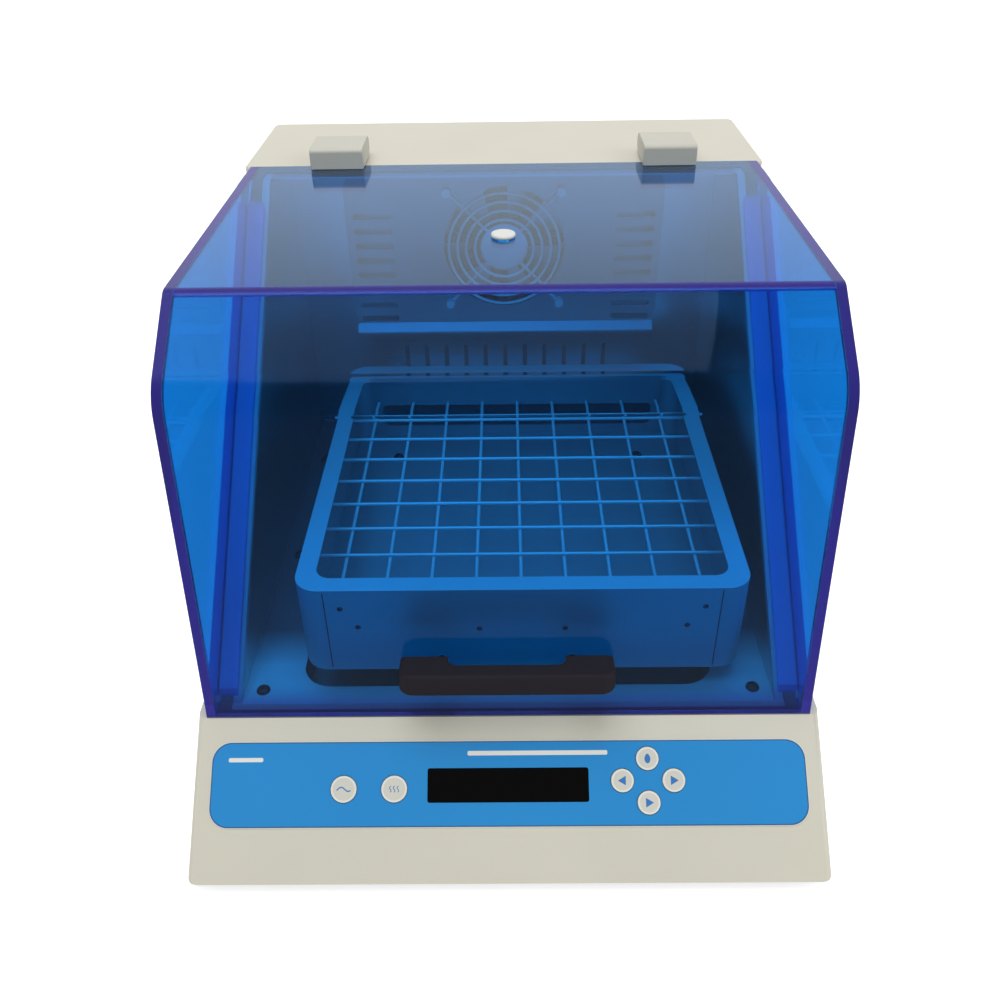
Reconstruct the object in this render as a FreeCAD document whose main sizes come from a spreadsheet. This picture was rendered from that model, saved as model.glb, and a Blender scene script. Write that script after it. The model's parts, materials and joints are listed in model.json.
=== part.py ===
import FreeCAD, Part
import math
import os
import re
import Sketcher

# Benchtop shaking incubator. Millimetres, Z up, the front faces -Y, X runs to the viewer's right.
# Depths in the sheet are measured back from the front edge, heights up from the bench.

Vector = FreeCAD.Vector
doc = FreeCAD.newDocument("shaking_incubator")
dims = doc.addObject("Spreadsheet::Sheet", "dims")

SIZES = [
    # Case
    ("base_width", 400), ("base_depth", 534), ("foot_height", 10), ("shell", 2.5),
    ("fascia_run", 77), ("fascia_rise", 65), ("sill_depth", 14), ("case_top", 329), ("fascia_corner", 6),
    ("cap_deep", 128.5), ("cap_corner", 6), ("pan_thick", 2),
    ("foot_radius", 16), ("foot_inset", 35), ("foot_back", 60),
    # Chamber: rim_wide and the bay behind are what the case keeps round it
    ("rim_wide", 25.5), ("bay_deep", 79), ("liner", 1.5), ("floor_top", 74),
    ("well_inset", 36.5), ("well_front", 107), ("well_gap", 63), ("well_floor", 50.5), ("well_corner", 20),
    ("bolt_inset", 12), ("bolt_front", 104), ("bolt_radius", 5), ("bolt_tall", 3), ("insulation_back", 20),
    ("vent_half", 90), ("vent_mid", 132), ("vent_tall", 40),
    # Hood and its seat
    ("hood_inset", 6), ("hood_side", 6), ("hood_sheet", 5), ("hood_top", 330), ("lid_gap", 1.5),
    ("hood_foot", 77.3), ("nose_depth", 113), ("nose_height", 291), ("ridge_depth", 168),
    ("nose_round", 32), ("ridge_round", 10), ("seal_thick", 1.2), ("seal_wide", 8), ("rail_thick", 5),
    ("rim_front", 92), ("rim_flat", 26), ("strip_thick", 5),
    ("handle_width", 133), ("handle_reach", 22), ("handle_bar", 12.5), ("handle_tall", 15),
    ("handle_rise", 38.5), ("handle_gap", 73), ("handle_screw", 41),
    ("plug_radius", 7.8), ("plug_back", 157),
    ("cap_x", 126), ("cap_wide", 40), ("hinge_set", 26), ("hinge_radius", 7.5), ("cap_reach", 10),
    ("knuckle_wide", 16), ("knuckle_radius", 5), ("pin_radius", 2.5), ("run_gap", 0.05), ("side_gap", 0.3),
    # Fan and heater
    ("cover_deep", 25), ("cover_half", 130), ("cover_fall", 67), ("cover_rise", 61), ("cover_sheet", 1.2),
    ("cover_corner", 14), ("cover_lip", 6),
    ("fan_drop", 78), ("fan_opening", 50), ("fan_half", 55), ("fan_thick", 20),
    ("hub_radius", 19.5), ("blade_radius", 48), ("blade_tilt", 35), ("guard_wire", 1.3), ("guard_ring", 46),
    ("guard_stand", 4.2), ("guard_ear", 16), ("guard_post", 3.6),
    ("louvre_in", 92), ("louvre_out", 124), ("louvre_tall", 5), ("louvre_pitch", 12.5), ("louvre_fall", 61),
    ("heater_half", 80), ("heater_tube", 3.5), ("heater_fall", 60.5), ("heater_rise", 45),
    ("heater_bend", 14),
    ("probe_x", 66), ("probe_fall", 50), ("probe_tall", 62), ("probe_radius", 2.2), ("bead_radius", 5.5),
    # Orbital drive
    ("drive_shift", 7.5), ("crank_throw", 10), ("shaft_radius", 5), ("plate_low", 38), ("plate_thick", 6),
    ("plate_inset", 10), ("plate_edge", 35), ("post_radius", 7), ("post_inset", 26), ("bearing_radius", 13),
    ("web_low", 58.6), ("web_thick", 6), ("web_radius", 18), ("carriage_inset", 24), ("carriage_end", 28),
    ("carriage_low", 82), ("carriage_thick", 6), ("boss_radius", 17),
    ("idler_in", 30), ("idler_fore", 25), ("idler_aft", 58),
    ("motor_back", 31), ("motor_radius", 24), ("motor_tall", 52),
    ("pulley_radius", 42), ("pinion_radius", 14),
    ("belt_low", 22), ("belt_wide", 10), ("belt_thick", 2), ("belt_gap", 0.3), ("weight_radius", 38),
    # Tray
    ("tray_side_gap", 30.5), ("tray_over", 5.5), ("tray_top", 156), ("tray_sheet", 1.5), ("tray_rim", 12.5),
    ("tray_corner", 16), ("wire_thick", 2.4), ("wire_drop", 34), ("wire_side", 21), ("wire_front", 47),
    ("wire_back", 32), ("slot_inset", 24), ("slot_tall", 18), ("slot_low", 98), ("tray_screw_in", 40),
    # Control panel, measured up the slope from the front edge
    ("overlay_inset", 11.5), ("overlay_tall", 52), ("overlay_mid", 59.5), ("overlay_thick", 0.6),
    ("overlay_round", 12), ("window_wide", 102), ("window_tall", 21), ("window_mid", 58.5),
    ("key_large", 8.25), ("key_small", 7.25), ("key_proud", 0.9), ("key_travel", 0.8), ("key_lip", 1.4),
    ("key_gap", 0.35), ("board_deep", 12), ("board_thick", 1.6), ("board_half", 125), ("board_rise", 23),
    ("pair_x", 88), ("pair_apart", 32), ("pair_mid", 56.5), ("pad_x", 88.5), ("pad_mid", 60.8),
    ("pad_across", 16.2), ("pad_up", 13.4),
    # Power supply and mains inlet
    ("supply_wide", 56), ("supply_deep", 44), ("supply_tall", 130), ("supply_inset", 38),
    ("inlet_inset", 80), ("inlet_height", 78), ("inlet_wide", 62), ("inlet_tall", 30), ("rocker_tilt", 8),
]
# Sizes that follow from the ones above, so that a change of the case carries everything with it
FOLLOWS = {
    "chamber_width": "base_width - 2 * rim_wide", "chamber_back": "base_depth - bay_deep",
    "well_half": "chamber_width / 2 - well_inset", "well_back": "chamber_back - well_gap",
    "bolt_x": "chamber_width / 2 - bolt_inset", "cap_front": "base_depth - cap_deep",
    "hood_width": "base_width - 2 * hood_inset", "hood_rear": "cap_front - lid_gap",
    "rim_rear": "hood_rear - rim_flat", "hinge_depth": "hood_rear + hinge_set",
    "cap_nose": "hood_rear - cap_reach",
    "fan_height": "case_top - fan_drop", "cover_low": "fan_height - cover_fall",
    "cover_high": "fan_height + cover_rise", "louvre_low": "fan_height - louvre_fall",
    "heater_low": "fan_height - heater_fall", "heater_high": "fan_height + heater_rise",
    "probe_low": "fan_height - probe_fall", "plug_depth": "hood_rear - plug_back",
    "cover_depth": "chamber_back - cover_deep",
    "drive_depth": "(well_front + well_back) / 2 + drive_shift", "motor_depth": "base_depth - motor_back",
    "tray_size": "chamber_width - 2 * tray_side_gap",
    "tray_deep": "well_back - well_front + 2 * tray_over",
    "carriage_half": "tray_size / 2 - carriage_inset", "carriage_long": "tray_deep / 2 - carriage_end",
    "idler_side": "carriage_half - idler_in", "idler_front": "carriage_long - idler_fore",
    "idler_back": "carriage_long - idler_aft", "pitch_x": "(tray_size - 2 * wire_side) / 8",
    "pitch_y": "(tray_deep - wire_front - wire_back) / 7", "slot_wide": "tray_size - 2 * slot_inset",
    "overlay_wide": "base_width - 2 * overlay_inset", "inlet_x": "base_width / 2 - inlet_inset",
    "supply_x": "supply_inset - base_width / 2",
    "supply_y": "(insulation_back + chamber_back + base_depth) / 2",
}
for row, (alias, value) in enumerate(SIZES, 1):
    dims.set(f"A{row}", alias)
    dims.set(f"B{row}", str(value))
    dims.setAlias(f"B{row}", alias)
doc.recompute()
NAMES = {alias for alias, value in SIZES}
FINISHED = []
RING_SHARES = (1, 0.836, 0.68, 0.53)


# Formulas: each text below is worked out by the document from the sheet's cells
def formula(text):
    def word(found):
        name = found[0]
        if name in FOLLOWS:
            return f"({formula(FOLLOWS[name])})"
        return "dims." + name if name in NAMES else name
    return re.sub(r"[a-z_]+", word, str(text))


def number(text):
    return float(dims.evalExpression(formula(text)))


def depth(text):
    return f"({text}) - base_depth / 2"


def node(thing, label):
    thing.Label = label
    FINISHED.append(thing)
    return thing


# Solid primitives and booleans
def place(thing, x, y, z, where="Placement"):
    for axis, text in zip("xyz", (x, y, z)):
        thing.setExpression(f"{where}.Base.{axis}", formula(text))


def box(wide, deep, tall, x, y, z):
    thing = doc.addObject("Part::Box", "block")
    for name, text in (("Length", wide), ("Width", deep), ("Height", tall)):
        thing.setExpression(name, formula(text))
    place(thing, x, y, z)
    return thing


TURNS = {
    "z": FreeCAD.Rotation(),
    "y": FreeCAD.Rotation(Vector(1, 0, 0), -90),
    "x": FreeCAD.Rotation(Vector(0, 1, 0), 90),
}


def rod(radius, length, x, y, z, along="z"):
    thing = doc.addObject("Part::Cylinder", "rod")
    thing.Placement = FreeCAD.Placement(Vector(), TURNS[along])
    thing.setExpression("Radius", formula(radius))
    thing.setExpression("Height", formula(length))
    place(thing, x, y, z)
    return thing


def ring(radius, wire, x, y, z, along="z", sweep=360):
    thing = doc.addObject("Part::Torus", "ring")
    thing.Placement = FreeCAD.Placement(Vector(), TURNS[along])
    thing.setExpression("Radius1", formula(radius))
    thing.setExpression("Radius2", formula(wire))
    thing.Angle3 = sweep
    place(thing, x, y, z)
    return thing


def join(things):
    thing = doc.addObject("Part::MultiFuse", "joined")
    thing.Shapes = things
    thing.Refine = True
    return thing


def gather(things):
    thing = doc.addObject("Part::Compound", "set")
    thing.Links = things
    return thing


def cut(base, tools):
    thing = doc.addObject("Part::Cut", "cut")
    thing.Base = base
    thing.Tool = gather(tools) if len(tools) > 1 else tools[0]
    return thing


# Sketched bodies
def body(label):
    return node(doc.addObject("PartDesign::Body", label), label)


def sketch(owner, plane, offset="0"):
    thing = owner.newObject("Sketcher::SketchObject", "outline")
    support = [f for f in owner.Origin.OriginFeatures if f.Role == plane][0]
    thing.AttachmentSupport = (support, [""])
    thing.MapMode = "FlatFace"
    thing.setExpression("AttachmentOffset.Base.z", formula(offset))
    return thing


def fix(thing, geometry, point, x, y):
    for kind, text in (("DistanceX", x), ("DistanceY", y)):
        index = thing.addConstraint(Sketcher.Constraint(kind, -1, 1, geometry, point, number(text)))
        thing.setExpression(f"Constraints[{index}]", formula(text))


def circle(thing, x, y, radius):
    shape = Part.Circle(Vector(number(x), number(y), 0), Vector(0, 0, 1), number(radius))
    geometry = thing.addGeometry(shape)
    fix(thing, geometry, 3, x, y)
    index = thing.addConstraint(Sketcher.Constraint("Radius", geometry, number(radius)))
    thing.setExpression(f"Constraints[{index}]", formula(radius))


def outline(thing, corners):
    # Closed outline through the corners, each (x, y) or (x, y, radius of its round)
    points = [Vector(number(c[0]), number(c[1]), 0) for c in corners]
    count = len(points)
    enter, leave, rounds = [], [], []
    for i, corner in enumerate(corners):
        here = points[i]
        back = (points[i - 1] - here).normalize()
        ahead = (points[(i + 1) % count] - here).normalize()
        radius = number(corner[2]) if len(corner) > 2 else 0
        half = back.getAngle(ahead) / 2
        reach = radius / math.tan(half)
        enter.append(here + back * reach)
        leave.append(here + ahead * reach)
        rounds.append((radius, here + (back + ahead).normalize() * (radius / math.sin(half))))
    lines = [thing.addGeometry(Part.LineSegment(leave[i], enter[(i + 1) % count])) for i in range(count)]
    for i, corner in enumerate(corners):
        before, after = lines[i - 1], lines[i]
        radius, centre = rounds[i]
        if not radius:
            thing.addConstraint(Sketcher.Constraint("Coincident", before, 2, after, 1))
            fix(thing, after, 1, corner[0], corner[1])
            continue
        first, last = enter[i] - centre, leave[i] - centre
        turned = first.cross(last).z > 0
        start, stop = (first, last) if turned else (last, first)
        begin = math.atan2(start.y, start.x)
        finish = math.atan2(stop.y, stop.x)
        finish += 2 * math.pi if finish < begin else 0
        arc = thing.addGeometry(Part.ArcOfCircle(Part.Circle(centre, Vector(0, 0, 1), radius), begin, finish))
        thing.addConstraint(Sketcher.Constraint("Tangent", before, 2, arc, 1 if turned else 2))
        thing.addConstraint(Sketcher.Constraint("Tangent", arc, 2 if turned else 1, after, 1))
        index = thing.addConstraint(Sketcher.Constraint("Radius", arc, radius))
        thing.setExpression(f"Constraints[{index}]", formula(corner[2]))
        tip = thing.addGeometry(Part.Point(points[i]), True)
        thing.addConstraint(Sketcher.Constraint("PointOnObject", tip, 1, before))
        thing.addConstraint(Sketcher.Constraint("PointOnObject", tip, 1, after))
        fix(thing, tip, 1, corner[0], corner[1])


def panel(thing, x, y, half_x, half_y, radius=None):
    corners = []
    for sx, sy in ((-1, -1), (1, -1), (1, 1), (-1, 1)):
        corner = (f"({x}) + {sx} * ({half_x})", f"({y}) + {sy} * ({half_y})")
        corners.append(corner + ((radius,) if radius else ()))
    outline(thing, corners)


def pad(owner, profile, length, both=False, back=False):
    thing = owner.newObject("PartDesign::Pad", "pad")
    thing.Profile = profile
    thing.setExpression("Length", formula(length))
    thing.SideType = "Symmetric" if both else "One side"
    thing.Reversed = back
    return thing


def pocket(owner, profile, length, both=False, back=False):
    thing = owner.newObject("PartDesign::Pocket", "pocket")
    thing.Profile = profile
    thing.setExpression("Length", formula(length))
    thing.SideType = "Symmetric" if both else "One side"
    thing.Reversed = back
    return thing


def repeat(owner, feature, profile, axis, spacing, count):
    thing = owner.newObject("PartDesign::LinearPattern", "row")
    thing.Originals = [feature]
    thing.Direction = (profile, [axis])
    thing.setExpression("Length", formula(f"({spacing}) * {count - 1}"))
    thing.Occurrences = count
    owner.Tip = thing
    return thing


def soften(owner, radius, wanted):
    doc.recompute()
    tip = owner.Tip
    names = [f"Edge{i}" for i, e in enumerate(tip.Shape.Edges, 1) if wanted(e.BoundBox, e)]
    thing = owner.newObject("PartDesign::Fillet", "soft")
    thing.Base = (tip, names)
    thing.setExpression("Radius", formula(radius))
    return thing


# Offset of an open path of corners, by a distance to its right
def beside(path, gap):
    def normal(a, b):
        run, rise = f"(({b[0]}) - ({a[0]}))", f"(({b[1]}) - ({a[1]}))"
        length = f"sqrt({run} ^ 2 + {rise} ^ 2)"
        return f"({rise} / {length})", f"(-{run} / {length})"
    normals = [normal(a, b) for a, b in zip(path, path[1:])]
    moved = []
    for i, (x, y) in enumerate(path):
        ax, ay = normals[max(i - 1, 0)]
        bx, by = normals[min(i, len(normals) - 1)]
        share = f"(({gap}) / (1 + {ax} * {bx} + {ay} * {by}))"
        moved.append((f"({x}) + {share} * ({ax} + {bx})", f"({y}) + {share} * ({ay} + {by})"))
    return moved


# A frame on a sloped face: x across, y up the slope, z out of the face
def on_slope(thing, start, run, rise, x, up, out, where="Placement"):
    length = f"sqrt(({run}) ^ 2 + ({rise}) ^ 2)"
    turn = FreeCAD.Rotation(Vector(1, 0, 0), 45)
    setattr(thing, where, FreeCAD.Placement(Vector(), turn))
    y = f"({start[0]}) + (({up}) * ({run}) - ({out}) * ({rise})) / {length}"
    z = f"({start[1]}) + (({up}) * ({rise}) + ({out}) * ({run})) / {length}"
    place(thing, x, y, z, where)
    thing.setExpression(f"{where}.Rotation.Angle", formula(f"atan2({rise}; {run})"))


FASCIA = ((depth("0"), "foot_height"), "fascia_run", "fascia_rise")
SHEET_RUN = "nose_depth - hood_foot"
SEAT = "foot_height + fascia_rise + seal_thick"
SHEET_RISE = f"nose_height - ({SEAT})"
FRONT_SHEET = ((depth("hood_foot"), SEAT), SHEET_RUN, SHEET_RISE)
HALF = "base_width / 2"
SILL = "foot_height + fascia_rise"
LINER_HALF = "chamber_width / 2"
HOOD_HALF = "hood_width / 2"
INNER_TOP = "hood_top - hood_sheet"
RAIL_FOOT = "hood_top - hood_sheet - seal_thick - rail_thick"
HINGE_Z = "hood_top + hinge_radius"
KEYS = {
    "key_wave": ("-pair_x - pair_apart / 2", "pair_mid", "key_large"),
    "key_heat": ("-pair_x + pair_apart / 2", "pair_mid", "key_large"),
    "key_up": ("pad_x", "pad_mid + pad_up", "key_small"),
    "key_left": ("pad_x - pad_across", "pad_mid", "key_small"),
    "key_right": ("pad_x + pad_across", "pad_mid", "key_small"),
    "key_down": ("pad_x", "pad_mid - pad_up", "key_small"),
}
# The line the hood closes on: along the sill, up the slanted rim, back to the hinge side
SEAM = [
    (depth("hood_foot"), SEAT), (depth("rim_front"), SEAT),
    (depth("rim_rear"), INNER_TOP), (depth("hood_rear"), INNER_TOP),
]
SEAL_TOP = beside(SEAM, "side_gap")
SEAL_FOOT = beside(SEAM, "seal_thick")
RAIL_LOW = beside(SEAM, "seal_thick + rail_thick")

# Main housing: sloped fascia, sill and side walls in one folded shell
housing = body("main_housing")
side = sketch(housing, "YZ_Plane")
SILL_BACK = depth("fascia_run + sill_depth")
outline(side, [
    (depth("0"), "foot_height"), (depth("fascia_run"), SILL), (SILL_BACK, SILL),
    (SILL_BACK, RAIL_LOW[1][1]), RAIL_LOW[1], RAIL_LOW[2], (depth("base_depth - shell"), RAIL_FOOT),
    (depth("base_depth - shell"), "foot_height"),
])
pad(housing, side, "base_width", both=True)
SLANT = "sqrt(fascia_run ^ 2 + fascia_rise ^ 2)"
inside = sketch(housing, "YZ_Plane")
INSET = f"shell * {SLANT} / fascia_rise"
BELOW = "5"
PAST_SILL, OVER, BEHIND_ALL = depth("fascia_run + sill_depth + 1"), "case_top + 20", depth("base_depth + 20")
outline(inside, [
    (depth(f"{INSET} - {BELOW} * fascia_run / fascia_rise"), f"foot_height - {BELOW}"),
    (depth(f"{INSET} + (fascia_rise - shell) * fascia_run / fascia_rise"), f"{SILL} - shell"),
    (PAST_SILL, f"{SILL} - shell"), (PAST_SILL, OVER),
    (BEHIND_ALL, OVER), (BEHIND_ALL, f"foot_height - {BELOW}"),
])
pocket(housing, inside, "base_width - 2 * shell", both=True)
face = sketch(housing, "XY_Plane")
on_slope(face, *FASCIA, "0", "0", "0", "AttachmentOffset")
panel(face, "0", "window_mid", "window_wide / 2 - 1", "window_tall / 2 - 1")
for x, up, radius in KEYS.values():
    circle(face, x, up, f"{radius} + key_gap")
pocket(housing, face, "2 * shell + 2", both=True)
soften(housing, "4", lambda b, e: b.XLength < 0.1 and abs(abs(b.XMin) - dims.base_width / 2) < 0.1
       and b.YMax < 1 - dims.base_depth / 2 + dims.fascia_run and b.ZLength > 20)
corners = sketch(housing, "XY_Plane")
on_slope(corners, *FASCIA, "0", "0", "0", "AttachmentOffset")
for sx in (-1, 1):
    past, turn = f"{sx} * ({HALF} + 3)", f"{sx} * ({HALF} - fascia_corner)"
    outline(corners, [
        (past, "-3"), (turn, "-3"), (turn, "0.2"), (f"{sx} * ({HALF} - 0.2)", "0.2", "fascia_corner * 0.9"),
        (f"{sx} * ({HALF} - 0.2)", "fascia_corner"), (past, "fascia_corner"),
    ])
pocket(housing, corners, "10 * shell", both=True)

# Rear cap over the fan and electronics bay
cap = body("rear_cap")
top = sketch(cap, "XY_Plane", RAIL_FOOT)
panel(top, "0", "cap_front / 2", HALF, "base_depth / 2 - cap_front / 2", "cap_corner")
pad(cap, top, f"case_top - ({RAIL_FOOT})")
hollow = sketch(cap, "XY_Plane", RAIL_FOOT)
panel(hollow, "0", "cap_front / 2", f"{HALF} - shell", "base_depth / 2 - cap_front / 2 - shell",
      "cap_corner - shell")
pocket(cap, hollow, f"case_top - ({RAIL_FOOT}) - shell", back=True)
lip = sketch(cap, "XZ_Plane", f"-({depth('cap_front')})")
panel(lip, "0", RAIL_FOOT, f"{HALF} - 6", f"{INNER_TOP} - seal_thick + side_gap - ({RAIL_FOOT})")
pocket(cap, lip, "2 * shell + 2", both=True)
soften(cap, "2", lambda b, e: b.ZMin > dims.case_top - 0.1 and b.ZLength < 0.1)

# Rear panel with vent slots and the cut-out for the mains inlet
rear = body("rear_panel")
plate = sketch(rear, "XZ_Plane", f"-({depth('base_depth - shell')})")
RISE = f"({RAIL_FOOT} - foot_height - pan_thick) / 2"
panel(plate, "0", f"foot_height + pan_thick + {RISE}", f"{HALF} - shell", RISE)
panel(plate, "inlet_x", "inlet_height", "inlet_wide / 2", "inlet_tall / 2")
pad(rear, plate, "shell", back=True)
vent = sketch(rear, "XZ_Plane", f"-({depth('base_depth - shell / 2')})")
for x in ("-80", "80"):
    panel(vent, x, "inlet_height + 60", "45", "2", "1.9")
slots = pocket(rear, vent, "shell + 2", both=True)
repeat(rear, slots, vent, "V_Axis", "12", 8)

# Base pan and feet
pan = body("base_pan")
plate = sketch(pan, "XY_Plane", "foot_height")
PAN_FRONT = f"(shell * {SLANT} + pan_thick * fascia_run) / fascia_rise"
panel(plate, "0", f"({PAN_FRONT} - shell) / 2", f"{HALF} - shell",
      f"base_depth / 2 - ({PAN_FRONT} + shell) / 2")
pad(pan, plate, "pan_thick")
vent = sketch(pan, "XY_Plane", "foot_height + pan_thick")
for x in ("-60", "60"):
    panel(vent, x, depth("motor_depth - 40"), "25", "2", "1.9")
slots = pocket(pan, vent, "pan_thick + 1")
repeat(pan, slots, vent, "V_Axis", "10", 6)
feet = []
for sx in (-1, 1):
    for back in ("foot_back", "base_depth - foot_back"):
        foot = doc.addObject("Part::Cone", "foot")
        foot.setExpression("Radius1", formula("foot_radius - 2"))
        foot.setExpression("Radius2", formula("foot_radius"))
        foot.setExpression("Height", formula("foot_height"))
        place(foot, f"{sx} * ({HALF} - foot_inset)", depth(back), "0")
        feet.append(foot)
node(gather(feet), "feet")

# Chamber liner: floor with the drive opening, side walls, back wall with its top return
floor = body("liner_floor")
plate = sketch(floor, "XY_Plane", "floor_top - liner")
FLOOR_FRONT, FLOOR_BACK = "fascia_run + sill_depth", "chamber_back + liner"
panel(plate, "0", f"({FLOOR_FRONT} + {FLOOR_BACK} - base_depth) / 2", LINER_HALF,
      f"({FLOOR_BACK} - ({FLOOR_FRONT})) / 2")
panel(plate, "0", "(well_front + well_back - base_depth) / 2", "well_half", "(well_back - well_front) / 2",
      "well_corner")
pad(floor, plate, "liner")
walls = body("liner_sides")
RAIL_RUN = f"(({RAIL_LOW[2][0]}) - ({RAIL_LOW[1][0]}))"
RAIL_RISE = f"(({RAIL_LOW[2][1]}) - ({RAIL_LOW[1][1]}))"
WALL_FRONT = f"({RAIL_LOW[1][0]}) + (floor_top - ({RAIL_LOW[1][1]})) * {RAIL_RUN} / {RAIL_RISE}"
for offset in (LINER_HALF, f"-({LINER_HALF}) - liner"):
    wall = sketch(walls, "YZ_Plane", offset)
    outline(wall, [
        (WALL_FRONT, "floor_top"), RAIL_LOW[2],
        (depth("chamber_back"), RAIL_FOOT), (depth("chamber_back"), "floor_top"),
    ])
    pad(walls, wall, "liner")
back = body("liner_back")
wall = sketch(back, "YZ_Plane")
RETURN = f"{INNER_TOP} - seal_thick"
outline(wall, [
    (depth("chamber_back"), "floor_top"), (depth("chamber_back + liner"), "floor_top"),
    (depth("chamber_back + liner"), RETURN), (depth("rim_rear + 6"), RETURN),
    (depth("rim_rear + 6"), f"{RETURN} - liner"), (depth("chamber_back"), f"{RETURN} - liner"),
])
pad(back, wall, "chamber_width", both=True)
vent = sketch(back, "XZ_Plane", f"-({depth('chamber_back')})")
panel(vent, "-vent_half", "vent_mid", "2", "vent_tall / 2", "1.9")
slots = pocket(back, vent, "2 * liner + 2", both=True)
repeat(back, slots, vent, "H_Axis", "2 * vent_half / 10", 11)

# Rim rails cap the gap between liner and housing along the slant
rails = body("rim_rails")
for offset in (LINER_HALF, f"-({HALF})"):
    rail = sketch(rails, "YZ_Plane", offset)
    outline(rail, [
        (SILL_BACK, SILL), SEAL_FOOT[1], SEAL_FOOT[2], (depth("hood_rear"), RETURN),
        (depth("hood_rear"), RAIL_FOOT), RAIL_LOW[2], RAIL_LOW[1], (SILL_BACK, RAIL_LOW[1][1]),
    ])
    pad(rails, rail, f"{HALF} - {LINER_HALF}")
seal = body("hood_seal")
SEAL_IN = f"{HOOD_HALF} - hood_side - seal_wide"
for offset in (SEAL_IN, f"-({HOOD_HALF})"):
    run = sketch(seal, "YZ_Plane", offset)
    outline(run, SEAL_TOP + SEAL_FOOT[::-1])
    pad(seal, run, "hood_side + seal_wide")
for start in (SEAM[0][0], depth("hood_rear - seal_wide - 2")):
    run = sketch(seal, "YZ_Plane")
    low = SILL if start == SEAM[0][0] else RETURN
    high = f"{low} + seal_thick - side_gap"
    stop = f"{start} + seal_wide"
    outline(run, [(start, low), (stop, low), (stop, high), (start, high)])
    pad(seal, run, f"2 * ({SEAL_IN})", both=True)

# Insulation slabs beside and behind the liner
slabs = body("insulation")
for offset in (f"{LINER_HALF} + liner", f"-({HALF}) + shell"):
    slab = sketch(slabs, "YZ_Plane", offset)
    outline(slab, [
        (depth("rim_front + 10"), "floor_top - 14"), (depth("rim_front + 10"), "floor_top - 2"),
        (f"{RAIL_LOW[2][0]} + 2", f"{RAIL_FOOT} - 2"), (depth("chamber_back"), f"{RAIL_FOOT} - 2"),
        (depth("chamber_back"), "floor_top - 14"),
    ])
    pad(slabs, slab, f"{HALF} - shell - {LINER_HALF} - liner")
slab = sketch(slabs, "YZ_Plane")
BEHIND = "chamber_back + liner"
outline(slab, [
    (depth(BEHIND), "floor_top + 4"), (depth(f"{BEHIND} + insulation_back"), "floor_top + 4"),
    (depth(f"{BEHIND} + insulation_back"), f"{RETURN} - 4"), (depth(BEHIND), f"{RETURN} - 4"),
])
pad(slabs, slab, "chamber_width", both=True)


# Button-head bolts with a hexagon recess
def button(x, y, z, radius, tall):
    head = rod(radius, tall, x, y, z)
    recess = doc.addObject("Part::Prism", "recess")
    recess.Polygon = 6
    recess.setExpression("Circumradius", formula(f"({radius}) * 0.45"))
    recess.setExpression("Height", formula(tall))
    place(recess, x, y, f"({z}) + ({tall}) * 0.4")
    return cut(head, [recess])


bolts = []
for sx in (-1, 1):
    for back in ("bolt_front", "(bolt_front + well_back) / 2", "well_back - 6"):
        bolts.append(button(f"{sx} * bolt_x", depth(back), "floor_top", "bolt_radius", "bolt_tall"))
node(gather(bolts), "floor_bolts")

# Plenum cover with louvres
cover = body("plenum_cover")
front = sketch(cover, "XZ_Plane", f"-({depth('cover_depth')})")
COVER_MID, COVER_RISE = "(cover_low + cover_high) / 2", "(cover_high - cover_low) / 2"
panel(front, "0", COVER_MID, "cover_half", COVER_RISE, "cover_corner")
pad(cover, front, "chamber_back - cover_depth", back=True)
hollow = sketch(cover, "XZ_Plane", f"-({depth('chamber_back')})")
panel(hollow, "0", COVER_MID, "cover_half - cover_sheet", f"{COVER_RISE} - cover_sheet",
      "cover_corner - cover_sheet")
pocket(cover, hollow, "chamber_back - cover_depth - cover_sheet", back=True)
hole = sketch(cover, "XZ_Plane", f"-({depth('cover_depth')})")
circle(hole, "0", "fan_height", "fan_opening")
pocket(cover, hole, "2 * cover_sheet + 2", both=True)
louvre = sketch(cover, "XZ_Plane", f"-({depth('cover_depth')})")
for sx in (-1, 1):
    panel(louvre, f"{sx} * (louvre_in + louvre_out) / 2", "louvre_low",
          "(louvre_out - louvre_in) / 2", "louvre_tall / 2", "louvre_tall * 0.4")
slots = pocket(cover, louvre, "2 * cover_sheet + 2", both=True)
repeat(cover, slots, louvre, "V_Axis", "louvre_pitch", 8)
# Lower edge turned out and down, as a lip
lip = sketch(cover, "YZ_Plane")
TURN, TIP, SHEET = depth("cover_depth"), depth("cover_depth - cover_lip"), "cover_sheet * 1.414"
outline(lip, [
    (TURN, "cover_low"), (TURN, f"cover_low + {SHEET}"),
    (TIP, f"cover_low - cover_lip + {SHEET}"), (TIP, "cover_low - cover_lip"),
])
pad(cover, lip, "2 * cover_half - 4", both=True)

# Ring guard: wire rings welded to struts that run behind them, a centre disc and four fixing posts
GUARD_Y = depth("cover_depth - guard_stand")
STRUT_Y = f"{GUARD_Y} + 2 * guard_wire"
guard = []
for share in RING_SHARES:
    guard.append(ring(f"guard_ring * {share}", "guard_wire", "0", GUARD_Y, "fan_height", "y"))
for angle in (45, 135, 225, 315):
    across, up = math.sin(math.radians(angle)), math.cos(math.radians(angle))
    strut = rod("guard_wire", "guard_ring + guard_ear - hub_radius", "0", STRUT_Y, "fan_height")
    strut.Placement.Rotation = FreeCAD.Rotation(Vector(0, 1, 0), angle)
    place(strut, f"hub_radius * {across:.6f}", STRUT_Y, f"fan_height + hub_radius * {up:.6f}")
    guard.append(strut)
    reach = f"(guard_ring + guard_ear + guard_post) * {across:.6f}"
    rise = f"fan_height + (guard_ring + guard_ear + guard_post) * {up:.6f}"
    front = depth("cover_depth - guard_stand - 2")
    guard.append(rod("guard_post", "guard_stand + 2", reach, front, rise, "y"))
guard.append(rod("hub_radius", "1.6", "0", f"{STRUT_Y} - 0.8", "fan_height", "y"))
node(gather(guard), "fan_guard")

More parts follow.
